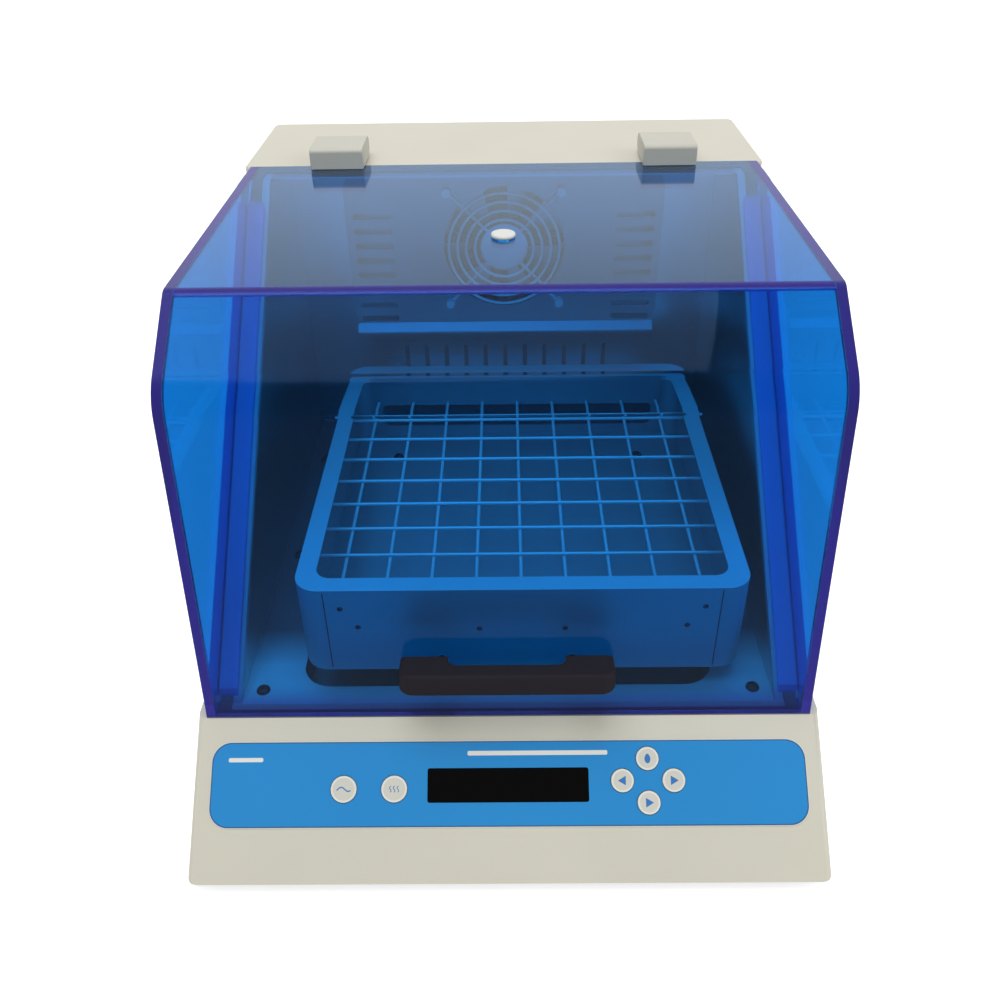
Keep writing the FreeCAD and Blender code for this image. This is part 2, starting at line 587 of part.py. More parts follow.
# Fan frame with duct, struts and motor hub; the impeller turns in it
FAN_Y = "cover_depth + cover_sheet"
block = box("2 * fan_half", "fan_thick", "2 * fan_half", "-fan_half", depth(FAN_Y), "fan_height - fan_half")
duct = rod("fan_opening + 1", "fan_thick + 2", "0", depth(f"{FAN_Y} - 1"), "fan_height", "y")
hub = [rod("hub_radius", "4", "0", depth(f"{FAN_Y} + fan_thick - 4"), "fan_height", "y")]
hub.append(rod("2.5", "12", "0", depth(f"{FAN_Y} + fan_thick - 14"), "fan_height", "y"))
ARM_Y = depth(f"{FAN_Y} + fan_thick - 3")
hub.append(box("2 * fan_half - 6", "3", "6", "3 - fan_half", ARM_Y, "fan_height - 3"))
hub.append(box("6", "3", "2 * fan_half - 6", "-3", ARM_Y, "fan_height - fan_half + 3"))
node(join([cut(block, [duct])] + hub), "fan_frame")
spin_hub = rod("hub_radius", "fan_thick - 6", "0", depth(f"{FAN_Y} + 1.4"), "fan_height", "y")
blades = [spin_hub]
for i in range(7):
    blade = doc.addObject("Part::Box", "blade")
    blade.setExpression("Length", formula("blade_radius - hub_radius + 3"))
    blade.Width = 1.8
    blade.setExpression("Height", formula("fan_thick"))
    place(blade, "hub_radius - 3", "-0.9", "-fan_thick / 2")
    tilt = FreeCAD.Rotation(Vector(1, 0, 0), 90 - dims.blade_tilt)
    around = FreeCAD.Rotation(Vector(0, 1, 0), i * 360 / 7)
    holder = gather([blade])
    holder.Placement = FreeCAD.Placement(Vector(), around.multiply(tilt))
    place(holder, "0", depth(f"{FAN_Y} + fan_thick / 2 - 1.5"), "fan_height")
    blades.append(holder)
bore = rod("2.5 + run_gap", "11", "0", depth(f"{FAN_Y} + fan_thick - 14.5"), "fan_height", "y")
sweep = rod("blade_radius", "fan_thick - 6", "0", depth(f"{FAN_Y} + 1.4"), "fan_height", "y")
wheel = doc.addObject("Part::Common", "wheel")
wheel.Base = join(blades)
wheel.Tool = sweep
node(cut(wheel, [bore]), "fan_impeller")

# Tubular heater round the fan, with its two end beads, and the air probe
HEAT_Y = depth("(cover_depth + chamber_back) / 2")
TURN_Z, TURN_X = "heater_low + heater_bend", "heater_half - heater_bend"
tubes = []
for sx in (-1, 1):
    tubes.append(rod("heater_tube", f"heater_high - ({TURN_Z})", f"{sx} * heater_half", HEAT_Y, TURN_Z))
tubes.append(rod("heater_tube", f"2 * ({TURN_X})", f"-({TURN_X})", HEAT_Y, "heater_low", "x"))
for sx, angle in ((1, 90), (-1, 180)):
    bend = ring("heater_bend", "heater_tube", f"{sx} * ({TURN_X})", HEAT_Y, TURN_Z, sweep=90)
    stand = FreeCAD.Rotation(Vector(1, 0, 0), 90)
    bend.Placement.Rotation = FreeCAD.Rotation(Vector(0, 1, 0), angle).multiply(stand)
    tubes.append(bend)
for sx in (-1, 1):
    tubes.append(rod("bead_radius", "cover_deep / 2 + bead_radius", f"{sx} * heater_half",
                     f"{HEAT_Y} - bead_radius", "heater_high - 2", "y"))
node(join(tubes), "heater_element")
probe = [rod("probe_radius", "probe_tall", "probe_x", depth("chamber_back - 7"), "probe_low")]
probe.append(box("8", "10", "8", "probe_x - 4", depth("chamber_back - 10"), "probe_low + 2"))
node(join(probe), "temperature_probe")

# Orbital drive: well, plate on posts, bearings, cranks
SHAFTS = {
    "drive": ("0", "drive_depth"),
    "front": ("0", "drive_depth - idler_front"),
    "left": ("-idler_side", "drive_depth + idler_back"),
    "right": ("idler_side", "drive_depth + idler_back"),
}
well = body("drive_well")
tub = sketch(well, "XY_Plane", "well_floor - liner")
WELL_MID, WELL_LONG = "(well_front + well_back - base_depth) / 2", "(well_back - well_front) / 2"
panel(tub, "0", WELL_MID, "well_half + liner", f"{WELL_LONG} + liner", "well_corner")
pad(well, tub, "floor_top - well_floor")
hollow = sketch(well, "XY_Plane", "well_floor")
panel(hollow, "0", WELL_MID, "well_half", WELL_LONG, "well_corner - liner")
pocket(well, hollow, "floor_top - well_floor", back=True)
holes = sketch(well, "XY_Plane", "well_floor")
for x, y in SHAFTS.values():
    circle(holes, x, depth(y), "bearing_radius + 7")
pocket(well, holes, "liner + 2")
PLATE_TOP = "plate_low + plate_thick"
deck = body("drive_plate")
plate = sketch(deck, "XY_Plane", "plate_low")
DECK_FRONT, DECK_BACK = "(drive_depth - idler_front - plate_edge)", "(base_depth - 8)"
panel(plate, "0", depth(f"({DECK_FRONT} + {DECK_BACK}) / 2"), "well_half - plate_inset",
      f"({DECK_BACK} - {DECK_FRONT}) / 2", "12")
for x, y in SHAFTS.values():
    circle(plate, x, depth(y), "shaft_radius + 3")
circle(plate, "0", depth("motor_depth"), "9")
pad(deck, plate, "plate_thick")
posts = sketch(deck, "XY_Plane", "foot_height + pan_thick")
for sx in (-1, 1):
    for back in ("drive_depth - idler_front", "drive_depth + idler_back + 30", "motor_depth + 12"):
        circle(posts, f"{sx} * (well_half - post_inset)", depth(back), "post_radius")
pad(deck, posts, "plate_low - foot_height - pan_thick")
sockets, races = [], []
for x, y in SHAFTS.values():
    flange = rod("bearing_radius + 13", "4", x, depth(y), PLATE_TOP)
    seat = join([flange, rod("bearing_radius + 5", "13", x, depth(y), PLATE_TOP)])
    sockets.append(cut(seat, [rod("bearing_radius", "20", x, depth(y), f"{PLATE_TOP} - 1")]))
    race = rod("bearing_radius", "8", x, depth(y), f"{PLATE_TOP} + 4")
    races.append(cut(race, [rod("shaft_radius + run_gap", "12", x, depth(y), f"{PLATE_TOP} + 2")]))
node(gather(sockets), "bearing_housings")
node(gather(races), "shaft_bearings")


# A crank: shaft, web and the pin set off by the throw towards +X
def crank(label, x, y, low, web):
    shaft = rod("shaft_radius", f"web_low + 1 - ({low})", x, depth(y), low)
    disc = rod(web, "web_thick", x, depth(y), "web_low")
    PIN = "carriage_low + carriage_thick - 1.5 - web_low - 1"
    pieces = [shaft, disc, rod("shaft_radius", PIN, f"{x} + crank_throw", depth(y), "web_low + 1")]
    return node(join(pieces), label)


crank("drive_crank", *SHAFTS["drive"], "belt_low - 4", "web_radius + 2")
for name in ("front", "left", "right"):
    crank(f"idler_{name}", *SHAFTS[name], "plate_low + 1", "web_radius")
lobe = doc.addObject("Part::Cylinder", "lobe")
lobe.setExpression("Radius", formula("weight_radius"))
lobe.setExpression("Height", formula("web_thick + 4"))
lobe.Angle = 150
lobe.Placement.Rotation = FreeCAD.Rotation(Vector(0, 0, 1), 105)
place(lobe, "0", depth("drive_depth"), "web_low")
hollow = rod("web_radius + 2", "web_thick + 8", "0", depth("drive_depth"), "web_low - 2")
node(cut(lobe, [hollow]), "counterweight")
PULLEY_LOW = "belt_low - 2"
driven = [rod("pulley_radius", "belt_wide + 4", "0", depth("drive_depth"), PULLEY_LOW)]
driven.append(rod("pulley_radius + 2.5", "1.6", "0", depth("drive_depth"), PULLEY_LOW))
driven.append(rod("pulley_radius + 2.5", "1.6", "0", depth("drive_depth"), "belt_low + belt_wide + 0.4"))
relief = [rod("shaft_radius", "40", "0", depth("drive_depth"), f"{PULLEY_LOW} - 5")]
for i in range(5):
    angle = math.radians(72 * i)
    across, back = 0.6 * math.cos(angle), 0.6 * math.sin(angle)
    relief.append(rod("9", "40", f"pulley_radius * {across:.6f}",
                      depth(f"drive_depth + pulley_radius * {back:.6f}"), f"{PULLEY_LOW} - 5"))
node(cut(join(driven), relief), "driven_pulley")
small = [rod("pinion_radius", "belt_wide + 4", "0", depth("motor_depth"), PULLEY_LOW)]
small.append(rod("pinion_radius + 2.5", "1.6", "0", depth("motor_depth"), PULLEY_LOW))
small.append(rod("pinion_radius + 2.5", "1.6", "0", depth("motor_depth"), "belt_low + belt_wide + 0.4"))
small.append(rod("4", "34", "0", depth("motor_depth"), PULLEY_LOW))
node(join(small), "motor_pulley")
can = [rod("motor_radius", "motor_tall", "0", depth("motor_depth"), PLATE_TOP)]
can.append(rod("motor_radius + 3", "4", "0", depth("motor_depth"), PLATE_TOP))
can.append(rod("motor_radius - 8", "motor_tall + 4", "0", depth("motor_depth"), PLATE_TOP))
node(cut(join(can), [rod("4 + run_gap", "14", "0", depth("motor_depth"), f"{PLATE_TOP} - 1")]), "drive_motor")


# Flat belt: the outline round both pulleys, set out from the sheet's radii and distance
def belt_face(extra):
    big = dims.pulley_radius + dims.belt_gap + extra
    little = dims.pinion_radius + dims.belt_gap + extra
    span = number("motor_depth - drive_depth")
    lean = math.asin((big - little) / span)
    near = number(depth("drive_depth"))
    far = near + span
    ends = []
    for y, radius in ((near, big), (far, little)):
        ends.append(Vector(radius * math.cos(lean), y + radius * math.sin(lean), 0))
    left = [Vector(-p.x, p.y, 0) for p in ends]
    edges = [Part.makeLine(ends[0], ends[1])]
    edges.append(Part.Arc(ends[1], Vector(0, far + little, 0), left[1]).toShape())
    edges.append(Part.makeLine(left[1], left[0]))
    edges.append(Part.Arc(left[0], Vector(0, near - big, 0), ends[0]).toShape())
    return Part.Face(Part.Wire(edges))


loop = doc.addObject("Part::Feature", "belt")
loop.Shape = belt_face(dims.belt_thick).cut(belt_face(0)).extrude(Vector(0, 0, dims.belt_wide))
loop.Placement = FreeCAD.Placement(Vector(0, 0, dims.belt_low), FreeCAD.Rotation())
node(loop, "drive_belt")

# Platform: carriage on the crank pins, tray, wires. At rest it stands one throw to +X
MID_X, MID_Y = "crank_throw", depth("drive_depth")
carriage = body("carriage")
plate = sketch(carriage, "XY_Plane", "carriage_low")
panel(plate, MID_X, MID_Y, "carriage_half", "carriage_long", "18")
for sx in (-1, 1):
    panel(plate, f"{MID_X} + {sx} * (carriage_half / 2 + 2)", f"{MID_Y} - carriage_long * 0.4",
          "carriage_half / 2 - 26", "carriage_long / 3", "12")
pad(carriage, plate, "carriage_thick")
bosses = sketch(carriage, "XY_Plane", "carriage_low - 4")
for x, y in SHAFTS.values():
    circle(bosses, f"{x} + crank_throw", depth(y), "boss_radius")
pad(carriage, bosses, "4 + carriage_thick")
bores = sketch(carriage, "XY_Plane", "carriage_low - 4")
for x, y in SHAFTS.values():
    circle(bores, f"{x} + crank_throw", depth(y), "bearing_radius - 2")
pocket(carriage, bores, "3 + carriage_thick", back=True)
races = []
for x, y in SHAFTS.values():
    race = rod("bearing_radius - 2", "8", f"{x} + crank_throw", depth(y), "carriage_low - 3.6")
    hole = rod("shaft_radius + run_gap", "12", f"{x} + crank_throw", depth(y), "carriage_low - 6")
    races.append(cut(race, [hole]))
node(gather(races), "carriage_bearings")
TRAY_LOW = "carriage_low + carriage_thick"
TRAY_HALF, TRAY_LONG = "tray_size / 2", "tray_deep / 2"
TRAY_TALL = f"tray_top - ({TRAY_LOW})"
tray = body("tray")
shape = sketch(tray, "XY_Plane", TRAY_LOW)
panel(shape, MID_X, MID_Y, TRAY_HALF, TRAY_LONG, "tray_corner")
pad(tray, shape, TRAY_TALL)
mouth = sketch(tray, "XY_Plane", "tray_top")
panel(mouth, MID_X, MID_Y, f"{TRAY_HALF} - tray_rim", f"{TRAY_LONG} - tray_rim", "tray_corner - 6")
pocket(tray, mouth, f"{TRAY_TALL} - tray_sheet")
hollow = sketch(tray, "XY_Plane", "tray_top - tray_sheet")
panel(hollow, MID_X, MID_Y, f"{TRAY_HALF} - tray_sheet", f"{TRAY_LONG} - tray_sheet",
      "tray_corner - tray_sheet")
pocket(tray, hollow, f"{TRAY_TALL} - 2 * tray_sheet")
slot = sketch(tray, "XZ_Plane", f"-({MID_Y}) - {TRAY_LONG}")
panel(slot, MID_X, "slot_low + slot_tall / 2", "slot_wide / 2", "slot_tall / 2", "6")
pocket(tray, slot, "2 * tray_sheet + 3", both=True)
# Front wall: small holes for clips, and the seam where the corner was folded round
small = sketch(tray, "XZ_Plane", f"-({MID_Y}) + {TRAY_LONG}")
for share, drop in ((0.73, 30.5), (0.19, 32.5), (-0.19, 32.5), (-0.73, 30.5), (0.8, 15), (-0.8, 15)):
    circle(small, f"{MID_X} + {share} * {TRAY_HALF}", f"tray_top - {drop}", "1.8")
pocket(tray, small, "2 * tray_sheet + 3", both=True)
seams = sketch(tray, "XZ_Plane", f"-({MID_Y}) + {TRAY_LONG}")
for sx in (-1, 1):
    panel(seams, f"{MID_X} + {sx} * ({TRAY_HALF} - tray_corner - 3)", f"(tray_top + {TRAY_LOW}) / 2", "0.4",
          f"({TRAY_TALL}) / 2 - 2")
pocket(tray, seams, "1.2", both=True)
# Drawn wires hold the flasks, set below the rim and resting on each other
WIRE_Z = "tray_top - wire_drop"
across, along = [], []
for i in range(8):
    across.append(rod("wire_thick / 2", "tray_size - 2 * tray_sheet", f"{MID_X} - {TRAY_HALF} + tray_sheet",
                      f"{MID_Y} + {TRAY_LONG} - wire_back - {i} * pitch_y", WIRE_Z, "x"))
for i in range(-4, 5):
    along.append(rod("wire_thick / 2", "tray_deep - 2 * tray_sheet", f"{MID_X} + {i} * pitch_x",
                     f"{MID_Y} - {TRAY_LONG} + tray_sheet", f"{WIRE_Z} - wire_thick", "y"))
node(gather(across), "wires_across")
node(gather(along), "wires_along")
heads = []
for sx in (-1, 1):
    for sy in (-1, 1):
        heads.append(button(f"{MID_X} + {sx} * ({TRAY_HALF} - tray_screw_in)",
                            f"{MID_Y} + {sy} * ({TRAY_LONG} - tray_screw_in)",
                            f"{TRAY_LOW} + tray_sheet", "bolt_radius", "bolt_tall"))
node(gather(heads), "tray_screws")

# Control panel: overlay, window, keys and the board behind
overlay = body("control_overlay")
on_slope(overlay, *FASCIA, "0", "0", "0")
sheet = sketch(overlay, "XY_Plane")
panel(sheet, "0", "overlay_mid", "overlay_wide / 2", "overlay_tall / 2", "overlay_round")
panel(sheet, "0", "window_mid", "window_wide / 2", "window_tall / 2", "1.5")
for x, up, radius in KEYS.values():
    circle(sheet, x, up, f"{radius} + key_gap")
pad(overlay, sheet, "overlay_thick")
window = body("display_window")
on_slope(window, *FASCIA, "0", "0", "0")
sheet = sketch(window, "XY_Plane")
panel(sheet, "0", "window_mid", "window_wide / 2", "window_tall / 2", "1.5")
pad(window, sheet, "overlay_thick + 0.2")
for label, (x, up, radius) in KEYS.items():
    key = body(label)
    on_slope(key, *FASCIA, x, up, "0")
    stem = sketch(key, "XY_Plane", "-(shell + side_gap + key_lip)")
    circle(stem, "0", "0", radius)
    pad(key, stem, "shell + side_gap + key_lip + overlay_thick + key_proud")
    flange = sketch(key, "XY_Plane", "-(shell + side_gap + key_lip)")
    circle(flange, "0", "0", f"{radius} + 1.6")
    pad(key, flange, "key_lip")
board = body("key_board")
on_slope(board, *FASCIA, "0", "0", "0")
sheet = sketch(board, "XY_Plane", "-board_deep - board_thick")
panel(sheet, "0", "window_mid", "board_half", "board_rise")
pad(board, sheet, "board_thick")
module = sketch(board, "XY_Plane", "-board_deep")
panel(module, "0", "window_mid", "window_wide / 2 - 3", "window_tall / 2 - 1.5")
pad(board, module, "board_deep - 0.4")
tact = sketch(board, "XY_Plane", "-board_deep")
for x, up, radius in KEYS.values():
    circle(tact, x, up, "3")
pad(board, tact, "board_deep - shell - side_gap - key_lip - key_travel - 0.4")
studs = sketch(board, "XY_Plane", "-board_deep")
for x in ("5 - board_half", "-window_wide / 2 - 7", "window_wide / 2 + 9", "board_half - 5"):
    circle(studs, x, "window_mid + board_rise - 5", "2.5")
pad(board, studs, "board_deep - shell")

# Power supply case, mains inlet with its rocker
supply = body("power_supply")
case = sketch(supply, "XY_Plane", "foot_height + pan_thick")
panel(case, "supply_x", depth("supply_y"), "supply_wide / 2", "supply_deep / 2", "3")
pad(supply, case, "supply_tall")
vent = sketch(supply, "XZ_Plane", f"-({depth('supply_y - supply_deep / 2')})")
panel(vent, "supply_x", "60", "supply_wide / 2 - 10", "1.5", "1.4")
slots = pocket(supply, vent, "4", both=True)
repeat(supply, slots, vent, "V_Axis", "8", 8)
inlet = body("power_inlet")
flange = sketch(inlet, "XZ_Plane", f"-({depth('base_depth - 0.5')})")
panel(flange, "inlet_x", "inlet_height", "inlet_wide / 2", "inlet_tall / 2", "2")
pad(inlet, flange, "24")
socket = sketch(inlet, "XZ_Plane", f"-({depth('base_depth - 0.5')})")
SOCKET_X = "inlet_x - 12"
outline(socket, [
    (f"{SOCKET_X} - 12", "inlet_height - 8"), (f"{SOCKET_X} + 12", "inlet_height - 8"),
    (f"{SOCKET_X} + 12", "inlet_height + 3"), (f"{SOCKET_X} + 7", "inlet_height + 8"),
    (f"{SOCKET_X} - 7", "inlet_height + 8"), (f"{SOCKET_X} - 12", "inlet_height + 3"),
])
pocket(inlet, socket, "17", back=True)
blades = sketch(inlet, "XZ_Plane", f"-({depth('base_depth - 19')})")
for dx, dz in ((-7, -2), (7, -2), (0, 2)):
    panel(blades, f"{SOCKET_X} + {dx}", f"inlet_height + {dz}", "1", "2")
pad(inlet, blades, "12", back=True)
ROCKER_X = "inlet_x + 18"
frame = sketch(inlet, "XZ_Plane", f"-({depth('base_depth - 0.5')})")
panel(frame, ROCKER_X, "inlet_height", "7", "9.6")
pocket(inlet, frame, "15", back=True)
pivot = sketch(inlet, "YZ_Plane", ROCKER_X)
circle(pivot, depth("base_depth - 7"), "inlet_height", "1.5 + run_gap")
pocket(inlet, pivot, "17.6", both=True)
rocker = body("switch_rocker")
rocker.Placement = FreeCAD.Placement(Vector(), FreeCAD.Rotation(Vector(1, 0, 0), 8))
place(rocker, ROCKER_X, depth("base_depth - 7"), "inlet_height")
rocker.setExpression("Placement.Rotation.Angle", formula("rocker_tilt"))
profile = sketch(rocker, "YZ_Plane")
outline(profile, [("-4", "-7"), ("-4", "7"), ("4.8", "8"), ("3.9", "0"), ("4.8", "-8")])
pad(rocker, profile, "13.2", both=True)
trunnion = sketch(rocker, "YZ_Plane")
circle(trunnion, "0", "0", "1.5")
pad(rocker, trunnion, "17", both=True)

# Hood: bent front and top sheet between two side sheets, all of one tinted stock
CREST = [
    (depth("hood_foot"), SEAT), (depth("nose_depth"), "nose_height"),
    (depth("ridge_depth"), "hood_top"), (depth("hood_rear"), "hood_top"),
]
UNDER = beside(CREST, "hood_sheet")
bent = body("hood_sheet_front_top")
skin = sketch(bent, "YZ_Plane")
outline(skin, [
    CREST[0], CREST[1] + ("nose_round",), CREST[2] + ("ridge_round",), CREST[3],
    UNDER[3], UNDER[2] + ("ridge_round - hood_sheet",), UNDER[1] + ("nose_round - hood_sheet",),
    (f"{CREST[0][0]} + hood_sheet * sqrt(({SHEET_RUN}) ^ 2 + ({SHEET_RISE}) ^ 2) / ({SHEET_RISE})", SEAT),
])
pad(bent, skin, "hood_width - 2 * hood_side", both=True)
holes = sketch(bent, "XY_Plane")
on_slope(holes, *FRONT_SHEET, "0", "handle_rise", "0", "AttachmentOffset")
for sx in (-1, 1):
    circle(holes, f"{sx} * handle_screw", "0", "2.3")
pocket(bent, holes, "3 * hood_sheet", both=True)
hole = sketch(bent, "XY_Plane", "hood_top")
circle(hole, "0", depth("plug_depth"), "5.2")
pocket(bent, hole, "2 * hood_sheet", both=True)
CHEEKS = {"hood_side_left": f"-({HOOD_HALF})", "hood_side_right": f"{HOOD_HALF} - hood_side"}
for label, offset in CHEEKS.items():
    cheek = body(label)
    profile = sketch(cheek, "YZ_Plane", offset)
    outline(profile, [
        CREST[0], CREST[1] + ("nose_round",), CREST[2] + ("ridge_round",), CREST[3],
        SEAM[3], SEAM[2], SEAM[1],
    ])
    pad(cheek, profile, "hood_side")
strips = body("hood_rim_strips")
SLOPE = f"((({SEAM[2][1]}) - ({SEAM[1][1]})) / (({SEAM[2][0]}) - ({SEAM[1][0]})))"
STRIP_FRONT, STRIP_REAR = f"{SEAM[1][0]} + 3", f"{SEAM[2][0]} - strip_thick * 4"
THICK = f"strip_thick * sqrt(1 + {SLOPE} ^ 2)"
LOW_FRONT = f"({SEAM[1][1]}) + 3 * {SLOPE}"
LOW_REAR = f"({SEAM[2][1]}) - strip_thick * 4 * {SLOPE}"
INNER = (f"{LINER_HALF} + 2", f"{HOOD_HALF} - hood_side - {LINER_HALF} - 2")
OUTER = (HOOD_HALF, f"{HALF} - {HOOD_HALF}")
for offset, wide in (INNER, OUTER):
    for start in (offset, f"-({offset}) - ({wide})"):
        strip = sketch(strips, "YZ_Plane", start)
        outline(strip, [
            (STRIP_FRONT, LOW_FRONT), (STRIP_REAR, LOW_REAR),
            (STRIP_REAR, f"{LOW_REAR} + {THICK}"), (STRIP_FRONT, f"{LOW_FRONT} + {THICK}"),
        ])
        pad(strips, strip, wide)

# Bow handle and its screws, set out on the front sheet
handle = body("hood_handle")
on_slope(handle, *FRONT_SHEET, "0", "handle_rise", "0")
bow = sketch(handle, "XZ_Plane")
WIDE, GAP = "handle_width / 2", "handle_gap / 2"
outline(bow, [
    (f"-{WIDE}", "0"), (f"-{WIDE}", "handle_reach", "9"), (WIDE, "handle_reach", "9"), (WIDE, "0"),
    (GAP, "0"), (GAP, "handle_reach - handle_bar", "6"),
    (f"-{GAP}", "handle_reach - handle_bar", "6"), (f"-{GAP}", "0"),
])
pad(handle, bow, "handle_tall", both=True)
bores = sketch(handle, "XY_Plane")
for sx in (-1, 1):
    circle(bores, f"{sx} * handle_screw", "0", "2.1")
pocket(handle, bores, "9", back=True)
soften(handle, "3", lambda b, e: b.ZMin > dims.handle_reach - 1 and b.XLength > 60
       and e.Curve.TypeId == "Part::GeomLine")
HEAD, SHANK = ("4.2", "2.6", "-hood_sheet - 2.6"), ("2", "hood_sheet + 9", "-hood_sheet - 1")
screws = []
for sx in (-1, 1):
    for radius, length, out in (HEAD, SHANK):
        pin = doc.addObject("Part::Cylinder", "screw")
        pin.setExpression("Radius", formula(radius))
        pin.setExpression("Height", formula(length))
        on_slope(pin, *FRONT_SHEET, f"{sx} * handle_screw", "handle_rise", out)
        screws.append(pin)
node(gather([join(screws[:2]), join(screws[2:])]), "handle_screws")
plug = [rod("plug_radius", "2.6", "0", depth("plug_depth"), "hood_top")]
plug.append(rod("5", "hood_sheet + 3.6", "0", depth("plug_depth"), "hood_top - hood_sheet - 2.6"))
node(join(plug), "lid_plug")

# Hinges: caps ride with the hood, brackets and pins stay on the rear cap
caps = body("hinge_caps")
for sx in (-1, 1):
    block = sketch(caps, "YZ_Plane", f"{sx} * cap_x - cap_wide / 2")
    BACK = depth("hinge_depth + hinge_radius")
    outline(block, [
        (depth("cap_nose"), "hood_top"), (BACK, "hood_top", "hinge_radius - 0.05"),
        (BACK, "hood_top + 2 * hinge_radius", "hinge_radius - 0.05"),
        (depth("cap_nose"), "hood_top + 2 * hinge_radius", "3"),
    ])
    pad(caps, block, "cap_wide")
for sx in (-1, 1):
    slot = sketch(caps, "YZ_Plane", f"{sx} * cap_x - knuckle_wide / 2 - side_gap")
    outline(slot, [
        (depth("hinge_depth - 9"), "hood_top - 2"), (depth("hinge_depth + hinge_radius + 2"), "hood_top - 2"),
        (depth("hinge_depth + hinge_radius + 2"), f"{HINGE_Z} + knuckle_radius + 0.5"),
        (depth("hinge_depth - 9"), f"{HINGE_Z} + knuckle_radius + 0.5"),
    ])
    pocket(caps, slot, "knuckle_wide + 2 * side_gap", back=True)
for sx in (-1, 1):
    bore = sketch(caps, "YZ_Plane", f"{sx} * cap_x")
    circle(bore, depth("hinge_depth"), HINGE_Z, "pin_radius + run_gap")
    pocket(caps, bore, "cap_wide - 3", both=True)
brackets, pins = [], []
for sx in (-1, 1):
    x = f"{sx} * cap_x - knuckle_wide / 2"
    foot = box("knuckle_wide", "13", "2.5", x, depth("hinge_depth - 7"), "case_top")
    web = box("knuckle_wide", "7", f"{HINGE_Z} - case_top", x, depth("hinge_depth - 3.5"), "case_top")
    eye = rod("knuckle_radius", "knuckle_wide", x, depth("hinge_depth"), HINGE_Z, "x")
    hole = rod("pin_radius", "knuckle_wide + 4", f"{x} - 2", depth("hinge_depth"), HINGE_Z, "x")
    brackets.append(cut(join([foot, web, eye]), [hole]))
    pins.append(rod("pin_radius", "cap_wide - 4", f"{sx} * cap_x - cap_wide / 2 + 2", depth("hinge_depth"),
                    HINGE_Z, "x"))
node(gather(brackets), "hinge_brackets")
node(gather(pins), "hinge_pins")

# Build, check every piece and write one file per piece
doc.recompute()
for thing in doc.Objects:
    if "Invalid" in thing.State or "Error" in thing.State:
        raise SystemExit(f"{thing.Label}: {thing.State}")
os.makedirs("parts", exist_ok=True)
for thing in FINISHED:
    shape = thing.Shape
    if shape.isNull() or not shape.isValid() or not shape.Solids:
        raise SystemExit(f"{thing.Label} has no sound solid")
    shape.exportStep(f"parts/{thing.Label}.step")
    print(thing.Label, len(shape.Solids), round(shape.Volume))
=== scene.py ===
# %% [markdown]
# # A benchtop shaking incubator
# The machine is a cream enamelled case with a tinted acrylic hood, a wire-topped tray on an orbital drive
# and a fan with a heater behind a louvred cover. The construction comes in as a fixed frame of named
# pieces. This lesson gives each piece its finish, models the soft edges, prints and fasteners that show,
# and sets up light and camera.

# %% Load the frame
import json
import math

import bmesh
import bpy
from mathutils import Matrix, Vector


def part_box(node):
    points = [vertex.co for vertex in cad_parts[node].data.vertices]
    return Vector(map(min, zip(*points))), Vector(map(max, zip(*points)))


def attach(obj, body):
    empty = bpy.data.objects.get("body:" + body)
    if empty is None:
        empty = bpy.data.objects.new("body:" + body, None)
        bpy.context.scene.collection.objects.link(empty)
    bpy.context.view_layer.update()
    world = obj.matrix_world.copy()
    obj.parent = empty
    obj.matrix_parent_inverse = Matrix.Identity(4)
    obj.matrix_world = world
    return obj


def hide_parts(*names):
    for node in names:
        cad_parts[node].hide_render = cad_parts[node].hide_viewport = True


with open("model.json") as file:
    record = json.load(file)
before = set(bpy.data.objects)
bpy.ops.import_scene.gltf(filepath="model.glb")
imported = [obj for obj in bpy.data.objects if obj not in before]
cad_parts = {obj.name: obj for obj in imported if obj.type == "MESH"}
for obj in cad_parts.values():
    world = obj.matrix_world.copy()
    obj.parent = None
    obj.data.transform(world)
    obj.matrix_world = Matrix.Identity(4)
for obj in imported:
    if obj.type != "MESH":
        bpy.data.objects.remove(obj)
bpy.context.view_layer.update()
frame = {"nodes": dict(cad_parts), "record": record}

MM_PER_M = 1000
nodes = frame["nodes"]
body_of = {n: b for b, group in frame["record"]["behaviour"]["bodies"].items() for n in group}
slot_of = {part["node"]: part["material_slot"] for part in frame["record"]["subparts"]}

# %% [markdown]
# ## Colour and nodes
# Colours are written as they would be read off a screen, in sRGB, and a shader wants them linear, so one
# function turns them. A second starts an empty material, and a third adds any node with its settings,
# values and links, which keeps each material readable as a list of steps.

# %% Three helpers for every material
def linear(text):
    parts = [int(text[i:i + 2], 16) / 255 for i in (1, 3, 5)]
    return tuple(c / 12.92 if c < 0.04045 else ((c + 0.055) / 1.055) ** 2.4 for c in parts) + (1.0,)


def blank(name):
    material = bpy.data.materials.new(name)
    material.use_nodes = True
    material.node_tree.nodes.clear()
    return material, material.node_tree


def add(tree, kind, values=(), links=(), **settings):
    node = tree.nodes.new(kind)
    for key, value in settings.items():
        setattr(node, key, value)
    for key, value in dict(values).items():
        node.inputs[key].default_value = value
    for key, socket in dict(links).items():
        tree.links.new(socket, node.inputs[key])
    return node


CREAM = "#C6C3B4"
print("enamel cream in linear light:", [round(c, 3) for c in linear(CREAM)[:3]])

# %% [markdown]
# ## Finishes with a grain
# Most surfaces here are one colour with a fine structure: the orange peel of stoved enamel, the lines left
# by brushing steel, the spark-eroded texture of a moulding tool. They could be image maps, but noise on
# Object coordinates needs no unwrapping and has a true size: the grain is given in millimetres along X, Y
# and Z, and a long grain in one direction makes brushing. The same noise shifts the colour, the roughness
# and a shallow bump. A second, broad noise lets the shade drift over a hand's breadth.

# %% A finish with a grain of a given size
BROAD_GRAIN, RELIEF_SHARE, MIRROR = 70, 0.05, 0.02
# The sockets of a Mix node that carry colours
MIX_A, MIX_B, MIXED = 6, 7, 2


